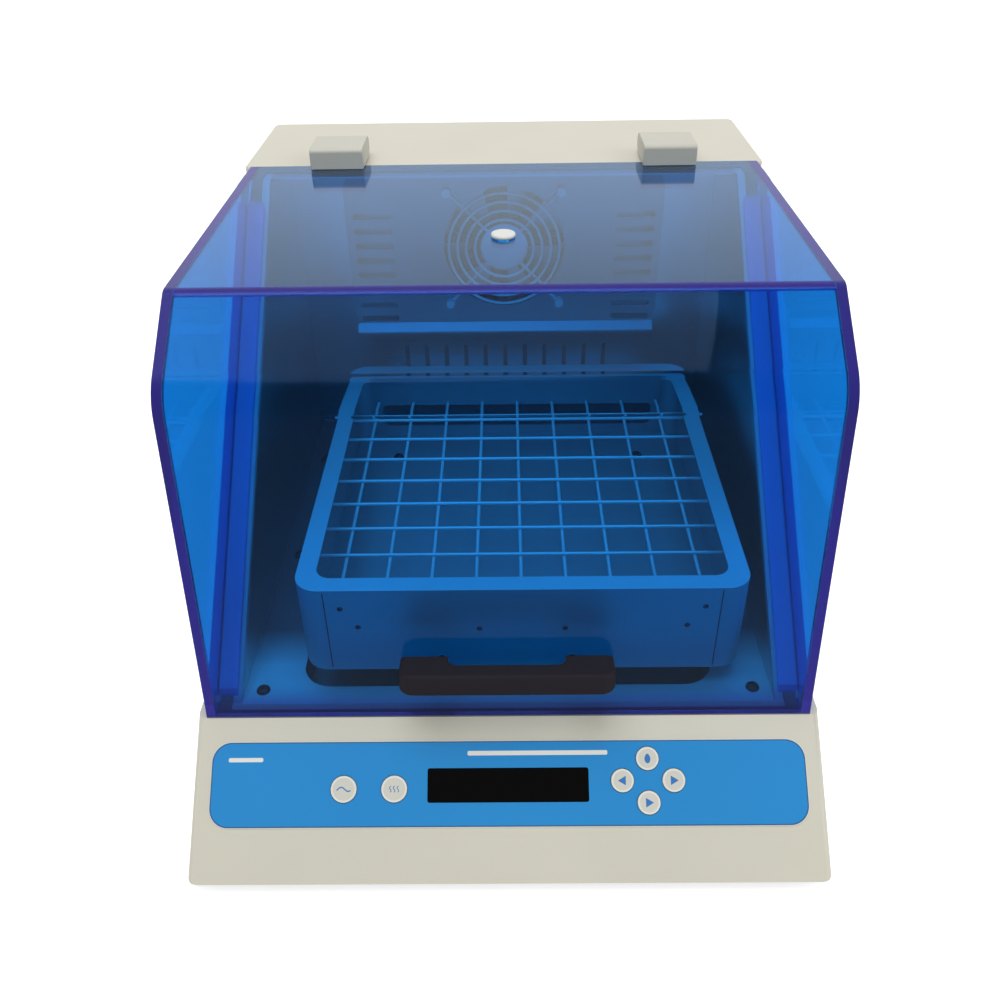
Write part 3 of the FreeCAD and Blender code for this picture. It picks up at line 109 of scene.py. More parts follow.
def finish(name, tone, roughness, metallic=0.0, grain=(1.5, 1.5, 1.5), shade=0.05, uneven=0.06, relief=0.08,
           shine=0.5):
    material, tree = blank(name)
    place = add(tree, "ShaderNodeTexCoord").outputs["Object"]
    size = add(tree, "ShaderNodeMapping", {"Scale": [MM_PER_M / g for g in grain]}, {"Vector": place})
    fine = add(tree, "ShaderNodeTexNoise", {"Scale": 1.0, "Detail": 2.0}, {"Vector": size.outputs[0]})
    broad = add(tree, "ShaderNodeTexNoise", {"Scale": MM_PER_M / BROAD_GRAIN, "Detail": 1.0},
                {"Vector": place})
    both = add(tree, "ShaderNodeMath", {1: 0.5}, {0: fine.outputs["Fac"], 2: broad.outputs["Fac"]},
               operation="MULTIPLY_ADD")
    colour = linear(tone)
    low = [c * (1 - shade) for c in colour[:3]] + [1.0]
    high = [min(1.0, c * (1 + shade)) for c in colour[:3]] + [1.0]
    tint = add(tree, "ShaderNodeMix", {MIX_A: low, MIX_B: high}, {0: both.outputs[0]}, data_type="RGBA")
    gloss = add(tree, "ShaderNodeMapRange",
                {"To Min": max(MIRROR, roughness - uneven), "To Max": roughness + uneven},
                {"Value": fine.outputs["Fac"]})
    bump = add(tree, "ShaderNodeBump", {"Strength": relief, "Distance": min(grain) * RELIEF_SHARE / MM_PER_M},
               {"Height": fine.outputs["Fac"]})
    shader = add(tree, "ShaderNodeBsdfPrincipled", {"Metallic": metallic, "Specular IOR Level": shine},
                 {"Base Color": tint.outputs[MIXED], "Roughness": gloss.outputs[0],
                  "Normal": bump.outputs[0]})
    add(tree, "ShaderNodeOutputMaterial", (), {"Surface": shader.outputs[0]})
    return material


# Stoved enamel on steel: an even cream with the faint orange peel of a sprayed coat
enamel = finish("stoved_enamel_cream", CREAM, 0.42, grain=(1.6, 1.6, 1.6), shade=0.035, relief=0.12)
# Enamel on the rim rails: bluish grey, a touch greyer than the case
rail_enamel = finish("stoved_enamel_rail", "#A9B2BD", 0.4, grain=(1.6, 1.6, 1.6), shade=0.04)
print("enamels:", enamel.name, rail_enamel.name)

# %% [markdown]
# ## Metals
# The chamber is stainless sheet, the tray aluminium, the screws blackened steel and the hidden sheets
# coated with zinc. They could share one grey, but each process leaves its own grain, so each is a finish of
# its own: brushing is a long grain, blasting and tumbling a fine even one. After the name and the tone come
# roughness, metal, grain in millimetres, shift of shade, unevenness of gloss and relief.

# %% Stainless, aluminium, zinc and steel
METAL = 1.0
# Stainless sheet, ground along its length: fine lines that stretch the highlights
liner_steel = finish("brushed_stainless_liner", "#C6C9CE", 0.30, METAL, (40, 0.7, 0.7), 0.06, 0.06, 0.015)
# The same sheet ground upright, on the cover in front of the fan: a darker grey with upright lines
cover_steel = finish("brushed_stainless_cover", "#9EA3A9", 0.36, METAL, (0.7, 0.7, 40), 0.06, 0.06, 0.02)
# The floor sheet is left pickled: paler and matt, so it scatters the light that comes in through the hood
floor_steel = finish("pickled_stainless_floor", "#E6E8EA", 0.6, METAL, (3, 3, 3), 0.05, 0.06, 0.05)
# Blasted aluminium: matt and even; the rim gets a paler copy, painted light as from above
tray_metal = finish("blasted_aluminium_tray", "#AEB3B9", 0.56, METAL, (0.8, 0.8, 0.8), 0.06, 0.08, 0.15)
rim_metal = finish("ground_aluminium_rim", "#F4F6F8", 0.5, METAL, (0.8, 0.8, 0.8), 0.04, 0.08, 0.05)
# Painted shade: a thin line of darker metal at each front corner stands in for the shade in the fold's groove
fold_dark = finish("unground_aluminium_fold", "#5A5F67", 0.7, METAL, (0.8, 0.8, 0.8), 0.10, 0.08, 0.05)
# Zinc-coated sheet: a dull bluish grey with broad soft spangle
zinc = finish("zinc_coated_sheet", "#8F9396", 0.5, METAL, (9, 9, 9), 0.14, 0.12, 0.05)
# Tumbled wire: pale and soft, so that it stays bright against the tray from every side
wire_steel = finish("tumbled_stainless_wire", "#F2F4F6", 0.72, METAL, (0.5, 0.5, 0.5), 0.04, 0.06, 0.05)
# Nickel on the welded guard: a little darker and sharper than the wire, bright from every side
guard_nickel = finish("nickel_plated_guard", "#E8EAEC", 0.5, METAL, (0.5, 0.5, 0.5), 0.04, 0.06, 0.05)
# Blackened screws: near black, with a thin gleam on the rounded edge
bolt_steel = finish("blackened_steel_fastener", "#3A3B40", 0.32, METAL, (0.6, 0.6, 0.6), 0.10, 0.08, 0.08)
# Milled aluminium inside the drive: pale, with the cutter's lines along its depth
aluminium = finish("milled_aluminium", "#B8BBBF", 0.36, METAL, (0.8, 22, 0.8), 0.08, 0.08, 0.08)
# Machined steel of the cranks: a darker grey with upright lines
machined = finish("machined_steel", "#8D9094", 0.34, METAL, (0.8, 0.8, 12), 0.10, 0.08, 0.08)
# The heater's sheath after some hot hours: brownish, patchy and half dull
sheath = finish("oxidised_heater_sheath", "#7D766D", 0.45, METAL, (2, 2, 2), 0.2, 0.12, 0.08)
print("materials so far:", len(bpy.data.materials))

# %% [markdown]
# ## Painted shade on the chamber floor
# The floor darkens from near the front towards the back, a painted shade for the light that falls off
# further in. It could be painted by hand, but a fade along one axis is a single Map Range on the Object
# coordinates, and the same few nodes serve any finish that goes over to another colour.

# %% Fade a finish along an axis
FILM_STARTS, FILM_FULL = -0.140, -0.105


def faded(material, axis, tone, own_end, tone_end):
    tree = material.node_tree
    base = next(n for n in tree.nodes if n.type == "BSDF_PRINCIPLED").inputs["Base Color"]
    place = add(tree, "ShaderNodeTexCoord")
    axes = add(tree, "ShaderNodeSeparateXYZ", (), {0: place.outputs["Object"]})
    share = add(tree, "ShaderNodeMapRange", {"From Min": own_end, "From Max": tone_end},
                {"Value": axes.outputs[axis]})
    # The blend towards the second tone; on the chamber floor this is painted shade
    film = add(tree, "ShaderNodeMix", {MIX_A: tuple(base.default_value), MIX_B: linear(tone)},
               {0: share.outputs[0]}, data_type="RGBA")
    if base.links:
        tree.links.new(base.links[0].from_socket, film.inputs[MIX_A])
    tree.links.new(film.outputs[MIXED], base)


# Painted shade: the floor's colour fades to a dark grey towards the back, where less light falls
faded(floor_steel, "Y", "#70757E", FILM_STARTS, FILM_FULL)
print("heat film comes in over mm:", round((FILM_FULL - FILM_STARTS) * MM_PER_M))

# %% [markdown]
# ## Moulded plastics
# Mouldings differ from enamel by a finer, deeper texture and by their gloss: the handle and the fan are
# matt and dark, the caps over the hinges a satin cream and the plug in the lid waxy. Each could be built
# node by node, but they are the same grained finish with other numbers, so a moulding costs one line.

# %% Moulded plastics
FINE = (0.5, 0.5, 0.5)
# The handle: a warm near-black that barely shines
handle_black = finish("moulded_abs_black", "#262328", 0.42, grain=FINE, shade=0.10, relief=0.15, shine=0.03)
# Fan frame and blades: a cooler black, dull all over
fan_black = finish("moulded_nylon_black", "#1B1C1F", 0.5, grain=FINE, shade=0.10, relief=0.12, shine=0.15)
# Inlet and switch: the deepest black, with a plain satin shine
inlet_black = finish("moulded_thermoplastic_black", "#161618", 0.45, grain=FINE, shade=0.10, relief=0.10)
# Caps over the hinges: a cream a shade greyer than the enamel
cap_cream = finish("moulded_abs_cream", "#B9B7AB", 0.44, grain=(0.6, 0.6, 0.6), shade=0.03, relief=0.14)
# The plug in the lid: a waxy white
plug_white = finish("moulded_polythene_white", "#CFD1CB", 0.4, grain=(0.8, 0.8, 0.8), shade=0.02, relief=0.05)
# Keys: a pale warm grey with a rubbery, even surface
key_grey = finish("moulded_silicone_key", "#C6C5BA", 0.5, grain=(0.4, 0.4, 0.4), shade=0.03, relief=0.10)
print("materials so far:", len(bpy.data.materials))

# %% [markdown]
# ## Film, window and inks
# The panel is faced with a smooth polyester film, printed on its back, so it has almost no relief, and the
# display sits behind a polished window. White and blue ink is flat, with a little unevenness. A picture
# could carry all of it, but as finishes of their own film, window and inks each keep their own gloss.

# %% Film, window and inks
# The film: an even mid blue under a dull clear face
film_blue = finish("printed_polyester_film", "#2484C4", 0.4, grain=(0.9, 0.9, 0.9), shade=0.03, relief=0.04,
                   shine=0.2)
# Its cut edge has no ink behind it, so it shows as a thin pale line
film_edge = finish("polyester_film_cut_edge", "#D4D3C8", 0.5, grain=(0.9, 0.9, 0.9), shade=0.02, relief=0.02)
# The display window has an anti-glare coat, so it stays black under a white sky
window_black = finish("coated_display_window", "#030304", 0.12, grain=(2, 2, 2), uneven=0.03, relief=0.0,
                      shine=0.04)
# Inks: flat and dull, with the slight mottle of screen printing
ink_white = finish("screen_ink_white", "#D9D9D2", 0.5, grain=FINE, shade=0.03, relief=0.04)
# Painted shade along the film's edge: a dark line in the same flat finish as the inks
ink_edge = finish("screen_ink_dark_line", "#1F4E7C", 0.5, grain=FINE, shade=0.06, relief=0.04)
ink_blue = finish("screen_ink_blue", "#1F6CAE", 0.5, grain=FINE, shade=0.06, relief=0.04)
print("materials so far:", len(bpy.data.materials))

# %% [markdown]
# ## Rubber, felt and paint
# What seals, drives and insulates is seen only with the hood up or the case open. Rubber and felt scatter
# nearly all light, so a high roughness and a deeper relief do most of the work, and no other shader is
# needed.

# %% Rubber, felt, board and paint
# Feet and belt: black with a chalky bloom
foot_rubber = finish("moulded_rubber_foot", "#1C1C1E", 0.75, grain=(0.6, 0.6, 0.6), shade=0.12, relief=0.2)
belt_rubber = finish("neoprene_belt", "#18181A", 0.7, grain=(0.6, 0.6, 0.6), shade=0.12, relief=0.2)
# Sponge seal: slate grey with open pores
seal_rubber = finish("extruded_sponge_seal", "#5E6470", 0.85, grain=(0.7, 0.7, 0.7), shade=0.12, relief=0.3)
# Felt: a brownish grey tangle of fibres
felt = finish("needled_insulation_felt", "#6F6C66", 0.95, grain=(1.2, 1.2, 1.2), shade=0.2, relief=0.6)
# Circuit board: dark green lacquer with the copper's relief under it
board_green = finish("solder_masked_board", "#1E5A36", 0.4, grain=(1.5, 1.5, 1.5), shade=0.10, relief=0.05)
# Motor: a sprayed blackish grey
motor_paint = finish("sprayed_motor_paint", "#2A2C30", 0.45, grain=(1.4, 1.4, 1.4), shade=0.06, relief=0.10)
print("materials so far:", len(bpy.data.materials))

# %% [markdown]
# ## Tinted acrylic
# The hood is cast acrylic, dyed through. Looking through a face the dye colours what lies behind; looking
# into a sawn edge the light has run through far more of it, so edges are a deep violet. The face is a
# Principled shader with full transmission and the refractive index of acrylic. Rays from the lamps pass a
# plain tinted Transparent shader instead, so the chamber is lit through the hood. Each of a sheet's two
# faces takes the square root of the dye.

# %% Acrylic faces, sawn edges and milled strips
ACRYLIC_IOR, HAZE_SIZE, HAZE_SPREAD = 1.49, 35, 0.4


def acrylic(name, tone, lamp_tone, gleam, roughness, clear):
    material, tree = blank(name)
    place = add(tree, "ShaderNodeTexCoord").outputs["Object"]
    haze = add(tree, "ShaderNodeTexNoise", {"Scale": MM_PER_M / HAZE_SIZE, "Detail": 2.0}, {"Vector": place})
    polish = add(tree, "ShaderNodeMapRange",
                 {"To Min": roughness * (1 - HAZE_SPREAD), "To Max": roughness * (1 + HAZE_SPREAD)},
                 {"Value": haze.outputs["Fac"]})
    face = add(tree, "ShaderNodeBsdfPrincipled",
               {"Base Color": linear(tone), "IOR": ACRYLIC_IOR, "Transmission Weight": clear,
                "Specular Tint": linear(gleam)},
               {"Roughness": polish.outputs[0]})
    root = [math.sqrt(c) for c in linear(lamp_tone)[:3]] + [1.0]
    lit = add(tree, "ShaderNodeBsdfTransparent", {"Color": root})
    path = add(tree, "ShaderNodeLightPath")
    either = add(tree, "ShaderNodeMixShader", (),
                 {0: path.outputs["Is Shadow Ray"], 1: face.outputs[0], 2: lit.outputs[0]})
    add(tree, "ShaderNodeOutputMaterial", (), {"Surface": either.outputs[0]})
    return material


DYE, FILTER, GLEAM, POLISH, CLEAR = "#3BA8E0", "#CFE6FF", "#4F5E7C", 0.02, 1.0
CUT_GLEAM, CUT_POLISH, CUT_CLEAR = "#66669C", 0.22, 0.6
# Polished face: a clear sky blue that turns what lies behind it blue, with a soft grey sheen
hood_face = acrylic("cast_acrylic_blue", DYE, FILTER, GLEAM, POLISH, CLEAR)
# Sawn edge: a frosted deep violet, nearly opaque
hood_edge = acrylic("cast_acrylic_sawn_edge", "#443CB0", "#443CB0", CUT_GLEAM, CUT_POLISH, CUT_CLEAR)
# The strips along the rim are milled all over: frosted, so they scatter a paler blue than a sawn edge
hood_strip = acrylic("cast_acrylic_milled_strip", "#6FACF0", "#6FACF0", CUT_GLEAM, CUT_POLISH, CUT_CLEAR)
print("acrylic dye for one sheet:", [round(c, 2) for c in linear(DYE)[:3]])

# %% [markdown]
# ## Dress the frame
# Each piece of the frame already has the right shape and place, so the simplest finish is to give its
# object a material. The table pairs the record's finish names with the materials above.

# %% Give every piece its finish
finish_of = {
    "cream_enamel": enamel, "zinc_sheet": zinc, "foot_rubber": foot_rubber, "seal_rubber": seal_rubber,
    "belt_rubber": belt_rubber, "liner_steel": liner_steel, "rail_enamel": rail_enamel,
    "insulation_felt": felt, "bolt_steel": bolt_steel, "cover_steel": cover_steel,
    "guard_wire": guard_nickel, "fan_black": fan_black, "heater_sheath": sheath,
    "drive_aluminium": aluminium, "crank_steel": machined, "motor_paint": motor_paint,
    "tray_steel": tray_metal, "wire_steel": wire_steel, "overlay_blue": film_blue,
    "window_black": window_black, "key_grey": key_grey, "board_green": board_green, "supply_case": zinc,
    "inlet_black": inlet_black, "hinge_bracket_steel": zinc, "hinge_cap_cream": cap_cream,
    "hood_acrylic": hood_face, "handle_black": handle_black, "plug_white": plug_white,
}
for name, piece in nodes.items():
    piece.data.materials.clear()
    piece.data.materials.append(floor_steel if name == "liner_floor" else finish_of[slot_of[name]])
print("pieces with a finish:", len(nodes))

# %% [markdown]
# ## Soft edges
# No sheet-metal fold or moulding has a knife edge: a small round catches a line of light and makes the
# piece look made. A piece that shows close up is copied, its loose triangles are merged back into whole
# faces, and a Bevel modifier rounds every edge sharper than 32 degrees. The copy then stands for its piece
# and moves with the same body. A width of nothing only evens out the shading, where the frame has its own
# rounds.

# %% Copy a piece with rounded edges
MERGE, FLAT, SHARP, ROUND_STEPS = 2e-6, math.radians(0.5), math.radians(32), 2


def put(name, data):
    piece = bpy.data.objects.new(name, data)
    bpy.context.scene.collection.objects.link(piece)
    return piece


def softened(node, width, name, even=True):
    mesh = nodes[node].data.copy()
    work = bmesh.new()
    work.from_mesh(mesh)
    bmesh.ops.remove_doubles(work, verts=work.verts, dist=MERGE)
    bmesh.ops.dissolve_limit(work, angle_limit=FLAT, verts=work.verts, edges=work.edges)
    work.to_mesh(mesh)
    work.free()
    mesh.name = name
    piece = put(name, mesh)
    mesh.shade_smooth()
    mesh.set_sharp_from_angle(angle=SHARP)
    if width:
        bevel = piece.modifiers.new("soft_edges", "BEVEL")
        bevel.width, bevel.segments, bevel.limit_method = width / MM_PER_M, ROUND_STEPS, "ANGLE"
        bevel.angle_limit = SHARP
        bevel.use_clamp_overlap = True
    if even:
        piece.modifiers.new("flat_faces_stay_flat", "WEIGHTED_NORMAL").keep_sharp = True
    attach(piece, body_of[node])
    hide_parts(node)
    return piece


KEYS = ("key_wave", "key_heat", "key_up", "key_left", "key_right", "key_down")
KEY_ROUND = 0.6
SOFT = {
    "hinge_caps": 1.8, "hood_handle": 2.2, "lid_plug": 1.0, "tray": 0.4, "rear_cap": 0.0,
    "main_housing": 0.0, "display_window": 0.2, "plenum_cover": 0.0, "switch_rocker": 0.8,
    **{key: KEY_ROUND for key in KEYS},
}
soft = {node: softened(node, width, node + "_finished") for node, width in SOFT.items()}
print("pieces with soft edges:", len(soft))

# %% [markdown]
# ## Painted light on the tray's rim
# The tray's rim is painted light: it is made paler than the walls, as light from above would make it. It
# could be a piece of its own, but only the finish changes, so the faces that look up at the tray's full
# height take a second, paler copy of the aluminium.

# %% Paint light on the rim
LEVEL, HAIR = 0.9, 1e-4
pan = soft["tray"].data
pan.materials.append(rim_metal)
tray_low, tray_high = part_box("tray")
for face in pan.polygons:
    if face.normal.z > LEVEL and face.center.z > tray_high.z - HAIR:
        face.material_index = 1
print("rim faces:", sum(face.material_index for face in pan.polygons))

# %% [markdown]
# ## The hood
# Two side sheets are cemented to one long sheet that is folded twice, at the nose and at the ridge. The rim
# of each sheet is a sawn edge. It could be picked face by face, but a face is part of an edge when it does
# not look along the thickness of its sheet, so the material is chosen from the direction of the face, and
# stays with the sheet from every side.

# %% A sheet with its own edge material
FACE, EDGE, BAND = 0, 1, 2
FOLD_STRIP, FOOT_BAND = 0.012, 0.022
top_sheet = nodes["hood_sheet_front_top"].data
foot_height = min(v.co.z for v in top_sheet.vertices)
lid_height = max(v.co.z for v in top_sheet.vertices)


def hood_sheet(node, name, is_edge, band=None, edge=hood_edge):
    piece = softened(node, 0.0, name, even=False)
    mesh = piece.data
    mesh.materials.append(edge)
    if band:
        # A cut all round at the top of the band, so that its faces can take their own dye
        work = bmesh.new()
        work.from_mesh(mesh)
        whole = work.verts[:] + work.edges[:] + work.faces[:]
        bmesh.ops.bisect_plane(work, geom=whole, plane_co=(0, 0, foot_height + FOOT_BAND), plane_no=(0, 0, 1))
        work.to_mesh(mesh)
        work.free()
        mesh.materials.append(band)
    for face in mesh.polygons:
        in_band = band and face.center.z < foot_height + FOOT_BAND
        face.material_index = EDGE if is_edge(face) else BAND if in_band else FACE
        spots = [mesh.vertices[i].co for i in face.vertices]
        # Only the narrow strips of a fold are shaded round: a wide sheet is flat
        face.use_smooth = max((a.yz - spots[0].yz).length for a in spots) < FOLD_STRIP
    return piece


print("hood from foot to lid in mm:", round((lid_height - foot_height) * MM_PER_M, 1))

# %% [markdown]
# ## Four pieces of the hood
# Near its foot the front sheet is seen against its own sawn edge, so the dye deepens to violet there. Along
# the ridge the fold gathers light in the same way. Both could be lit for real with far more rays, but a
# fade and a narrow strip of edge material give the same look at once.

# %% Sheets with violet edges
SIDEWAYS, DOWNWARDS, RIDGE_GLOW, RIDGE_FLAT, CEMENT_GAP = 0.6, 0.95, 0.006, 2e-4, 2e-4
ridge = Vector((0, min(v.co.y for v in top_sheet.vertices if v.co.z > lid_height - RIDGE_FLAT), lid_height))


def side_rim(face):
    return abs(face.normal.x) < SIDEWAYS


def fold_rim(face):
    at_foot = face.normal.z < -DOWNWARDS and face.center.z < foot_height + HAIR
    at_ridge = (face.center.yz - ridge.yz).length < RIDGE_GLOW
    return abs(face.normal.x) > SIDEWAYS or at_foot or at_ridge


# Foot band: the clear blue of the face, going over to violet towards the foot
hood_band = acrylic("cast_acrylic_foot_band", DYE, FILTER, GLEAM, POLISH, CLEAR)
faded(hood_band, "Z", "#3A2C9A", foot_height + FOOT_BAND, foot_height)
left = hood_sheet("hood_side_left", "hood_side_left_sheet", side_rim)
right = hood_sheet("hood_side_right", "hood_side_right_sheet", side_rim)
folded = hood_sheet("hood_sheet_front_top", "hood_folded_sheet", fold_rim, hood_band)
# A hair narrower than the frame's, so that its ends never lie in the plane of the side sheets
folded.data.transform(Matrix.Diagonal((1 - CEMENT_GAP, 1, 1, 1)))
strips = hood_sheet("hood_rim_strips", "hood_rim_strip_set", lambda face: True, edge=hood_strip)
hood_faces = [face for piece in (left, right, folded, strips) for face in piece.data.polygons]
on_edges = sum(face.material_index == EDGE for face in hood_faces)
print("faces of the hood:", len(hood_faces), "on edges:", on_edges)

# %% [markdown]
# ## Wires, screws and guard
# The tray's grid is two rows of straight wire, the fasteners are button heads with a hexagon socket, and
# the fan has a guard of welded rings. Each is one shape repeated by a rule, so each is a small Geometry
# Nodes tree with its sizes as named inputs. The tree's result is baked to a plain mesh, because only meshes
# move with a body.

# %% Run a tree and keep its mesh
CREASE = math.radians(40)


def start_tree(name, **sizes):
    tree = bpy.data.node_groups.new(name, "GeometryNodeTree")
    tree.is_modifier = True
    kinds = {"Geometry": "NodeSocketGeometry", "Metal": "NodeSocketMaterial"}
    for key, kind in {"Geometry": "", **sizes, "Metal": ""}.items():
        tree.interface.new_socket(key, in_out="INPUT", socket_type=kinds.get(key, "NodeSocket" + kind))
    tree.interface.new_socket("Geometry", in_out="OUTPUT", socket_type="NodeSocketGeometry")
    return tree, add(tree, "NodeGroupInput").outputs


def end_tree(tree, shape, metal):
    real = add(tree, "GeometryNodeRealizeInstances", (), {0: shape})
    smooth = add(tree, "GeometryNodeSetShadeSmooth", (), {0: real.outputs[0]})
    done = add(tree, "GeometryNodeSetMaterial", (), {"Geometry": smooth.outputs[0], "Material": metal})
    add(tree, "NodeGroupOutput", (), {0: done.outputs[0]})
    print(tree.name, "nodes:", len(tree.nodes))


def grown(name, tree, node, points=(), instead=True, **sizes):
    mesh = bpy.data.meshes.new(name)
    mesh.from_pydata(points, [], [])
    piece = put(name, mesh)
    modifier = piece.modifiers.new(name, "NODES")
    modifier.node_group = tree
    for socket in tree.interface.items_tree:
        if socket.in_out == "INPUT" and socket.name in sizes:
            modifier[socket.identifier] = sizes[socket.name]
    ready = piece.evaluated_get(bpy.context.evaluated_depsgraph_get())
    piece.data = bpy.data.meshes.new_from_object(ready)
    piece.modifiers.clear()
    piece.data.set_sharp_from_angle(angle=CREASE)
    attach(piece, body_of[node])
    if instead:
        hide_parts(node)
    print(name, "faces:", len(piece.data.polygons))


# %% [markdown]
# ## The tray's wires
# Flasks are wedged between two layers of sprung wire, one across the tray and one along it. Every wire
# could be a cylinder, but a line swept by a circle and set at the points of a row needs only the row's
# first place, its step and its count. Places and thickness are read from the frame's own wires.

# %% Rows of wire across and along the tray
WIRES_ACROSS, WIRES_ALONG, WIRE_SIDES = 8, 9, 12
X, Y = 0, 1
wire_row, given = start_tree("wire_row", First="Vector", Run="Vector", Step="Vector", Count="Int",
                             Radius="Float")
line = add(wire_row, "GeometryNodeCurvePrimitiveLine", (), {"End": given["Run"]})
section = add(wire_row, "GeometryNodeCurvePrimitiveCircle", {"Resolution": WIRE_SIDES},
              {"Radius": given["Radius"]})
wire = add(wire_row, "GeometryNodeCurveToMesh", {"Fill Caps": True},
           {"Curve": line.outputs[0], "Profile Curve": section.outputs[0]})
row = add(wire_row, "GeometryNodeMeshLine", (),
          {"Count": given["Count"], "Start Location": given["First"], "Offset": given["Step"]})
wires = add(wire_row, "GeometryNodeInstanceOnPoints", (),
            {"Points": row.outputs[0], "Instance": wire.outputs[0]})
end_tree(wire_row, wires.outputs[0], given["Metal"])

for node, run, step, count in (("wires_across", X, Y, WIRES_ACROSS), ("wires_along", Y, X, WIRES_ALONG)):
    low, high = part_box(node)
    radius = (high.z - low.z) / 2
    first, length, pitch = (low + high) / 2, Vector(), Vector()
    first[run], length[run] = low[run], high[run] - low[run]
    first[step], pitch[step] = low[step] + radius, (high[step] - low[step] - 2 * radius) / (count - 1)
    grown(node + "_drawn", wire_row, node, First=list(first), Run=list(length), Step=list(pitch),
          Count=count, Radius=radius, Metal=wire_steel)

# %% [markdown]
# ## Button-head screws
# A button head is a low dome with a hexagon socket. It could be a turned profile, but a flattened ball, cut
# off level at its foot and then cut by a six-sided prism, is shorter to write, and one copy is set at every
# point. The cuts are made in millimetres, because they fail on sizes of a few thousandths. The ball has an
# odd number of rings, so no ring of corners lies in the plane of the first cut.

# %% Screw heads at points
HEAD_SIDES, HEAD_RINGS, SOCKET_SHARE, CUTTER = 28, 13, 0.5, 40
screw_heads, given = start_tree("screw_heads", Radius="Float", Height="Float", Axis="Vector")
ball = add(screw_heads, "GeometryNodeMeshUVSphere",
           {"Segments": HEAD_SIDES, "Rings": HEAD_RINGS, "Radius": 1.0})
width = add(screw_heads, "ShaderNodeCombineXYZ", (),
            {0: given["Radius"], 1: given["Radius"], 2: given["Height"]})
dome = add(screw_heads, "GeometryNodeTransform", (), {"Geometry": ball.outputs[0], "Scale": width.outputs[0]})
below = add(screw_heads, "GeometryNodeMeshCube", {"Size": (CUTTER, CUTTER, CUTTER)})
below = add(screw_heads, "GeometryNodeTransform", {"Translation": (0, 0, -CUTTER / 2)},
            {"Geometry": below.outputs[0]})
head = add(screw_heads, "GeometryNodeMeshBoolean", (), {0: dome.outputs[0], 1: below.outputs[0]},
           operation="DIFFERENCE")
key_size = add(screw_heads, "ShaderNodeMath", {1: SOCKET_SHARE}, {0: given["Radius"]}, operation="MULTIPLY")
prism = add(screw_heads, "GeometryNodeMeshCylinder", {"Vertices": 6},
            {"Radius": key_size.outputs[0], "Depth": given["Height"]})
lift = add(screw_heads, "ShaderNodeCombineXYZ", (), {2: given["Height"]})
prism = add(screw_heads, "GeometryNodeTransform", (),
            {"Geometry": prism.outputs[0], "Translation": lift.outputs[0]})
head = add(screw_heads, "GeometryNodeMeshBoolean", (), {0: head.outputs[0], 1: prism.outputs[0]},
           operation="DIFFERENCE")
head = add(screw_heads, "GeometryNodeTransform", {"Scale": [1 / MM_PER_M] * 3}, {"Geometry": head.outputs[0]})
upright = add(screw_heads, "FunctionNodeAlignRotationToVector", (), {"Vector": given["Axis"]}, axis="Z")
heads = add(screw_heads, "GeometryNodeInstanceOnPoints", (),
            {"Points": given["Geometry"], "Instance": head.outputs[0], "Rotation": upright.outputs[0]})
end_tree(screw_heads, heads.outputs[0], given["Metal"])

# %% [markdown]
# ## Bolts in the floor and screws in the tray
# Bolts hold the chamber floor, and screws hold the tray to its carriage. Their places could be typed again,
# but they are in the frame: the corners of a piece are grouped by the edges that join them, each group is
# one screw, and its middle and its two ends along the axis say where its head goes.

# %% Find the frame's screws and give them heads
HEAD_RADIUS = 4.6
up = Vector((0, 0, 1))


def separate_solids(node, axis):
    work = bmesh.new()
    work.from_mesh(nodes[node].data)
    bmesh.ops.remove_doubles(work, verts=work.verts, dist=MERGE)
    unseen, found = set(work.verts), []
    for first in work.verts:
        if first not in unseen:
            continue
        unseen.discard(first)
        spots, waiting = [], [first]
        while waiting:
            vert = waiting.pop()
            spots.append(vert.co)
            nearby = [edge.other_vert(vert) for edge in vert.link_edges if edge.other_vert(vert) in unseen]
            unseen.difference_update(nearby)
            waiting += nearby
        centre = sum(spots, Vector()) / len(spots)
        reach = [spot.dot(axis) for spot in spots]
        found.append((centre - axis * centre.dot(axis), min(reach), max(reach)))
    work.free()
    return found


for node in ("floor_bolts", "tray_screws"):
    found = separate_solids(node, up)
    grown(node + "_button", screw_heads, node, [spot + up * low for spot, low, high in found],
          Radius=HEAD_RADIUS, Height=(found[0][2] - found[0][1]) * MM_PER_M, Axis=list(up), Metal=bolt_steel)

# %% [markdown]
# ## Clip screws on the tray's front
# Six small screws hold the ends of the wire springs to the tray's front wall, and their near-black heads
# also stand in, as painted shade, for the dark of the holes. They are too small to be pieces of the frame,
# so they are added here with the same tree, at shares of the tray's half width and at drops below its rim in
# millimetres.

# %% Clip screws along the tray's front
CLIPS = ((0.19, 32.5), (0.73, 30.5), (0.8, 15))
CLIP_RADIUS, CLIP_HEIGHT, CLIP_SUNK = 2.2, 1.2, 0.0006
front = Vector((0, -1, 0))
tray_half, tray_mid = (tray_high.x - tray_low.x) / 2, (tray_high.x + tray_low.x) / 2
clip_depth = tray_low.y + CLIP_SUNK
clip_spots = [Vector((tray_mid + sx * share * tray_half, clip_depth, tray_high.z - drop / MM_PER_M))
              for sx in (-1, 1) for share, drop in CLIPS]
# Painted shade: the dark heads stand in for the shade inside the holes in the tray's front
grown("tray_clip_screws", screw_heads, "tray_screws", clip_spots, instead=False, Radius=CLIP_RADIUS,
      Height=CLIP_HEIGHT, Axis=list(front), Metal=bolt_steel)

# %% [markdown]
# ## Domes inside the hood
# The handle's screws end in plated domes on the inner face of the front sheet. The sheet leans, so the
# direction is read from the largest face that looks to the front, and each dome sits at the inner end of
# its screw.

# %% Domed screws behind the handle
DOME_RADIUS, DOME_HEIGHT = 4.6, 3.2
sheet_face = min(top_sheet.polygons, key=lambda f: f.normal.y * f.area)
inward = -sheet_face.normal
found = separate_solids("handle_screws", inward)
grown("handle_screw_domes", screw_heads, "handle_screws", [spot + inward * high for spot, low, high in found],
      instead=False, Radius=DOME_RADIUS, Height=DOME_HEIGHT, Axis=list(inward), Metal=guard_nickel)

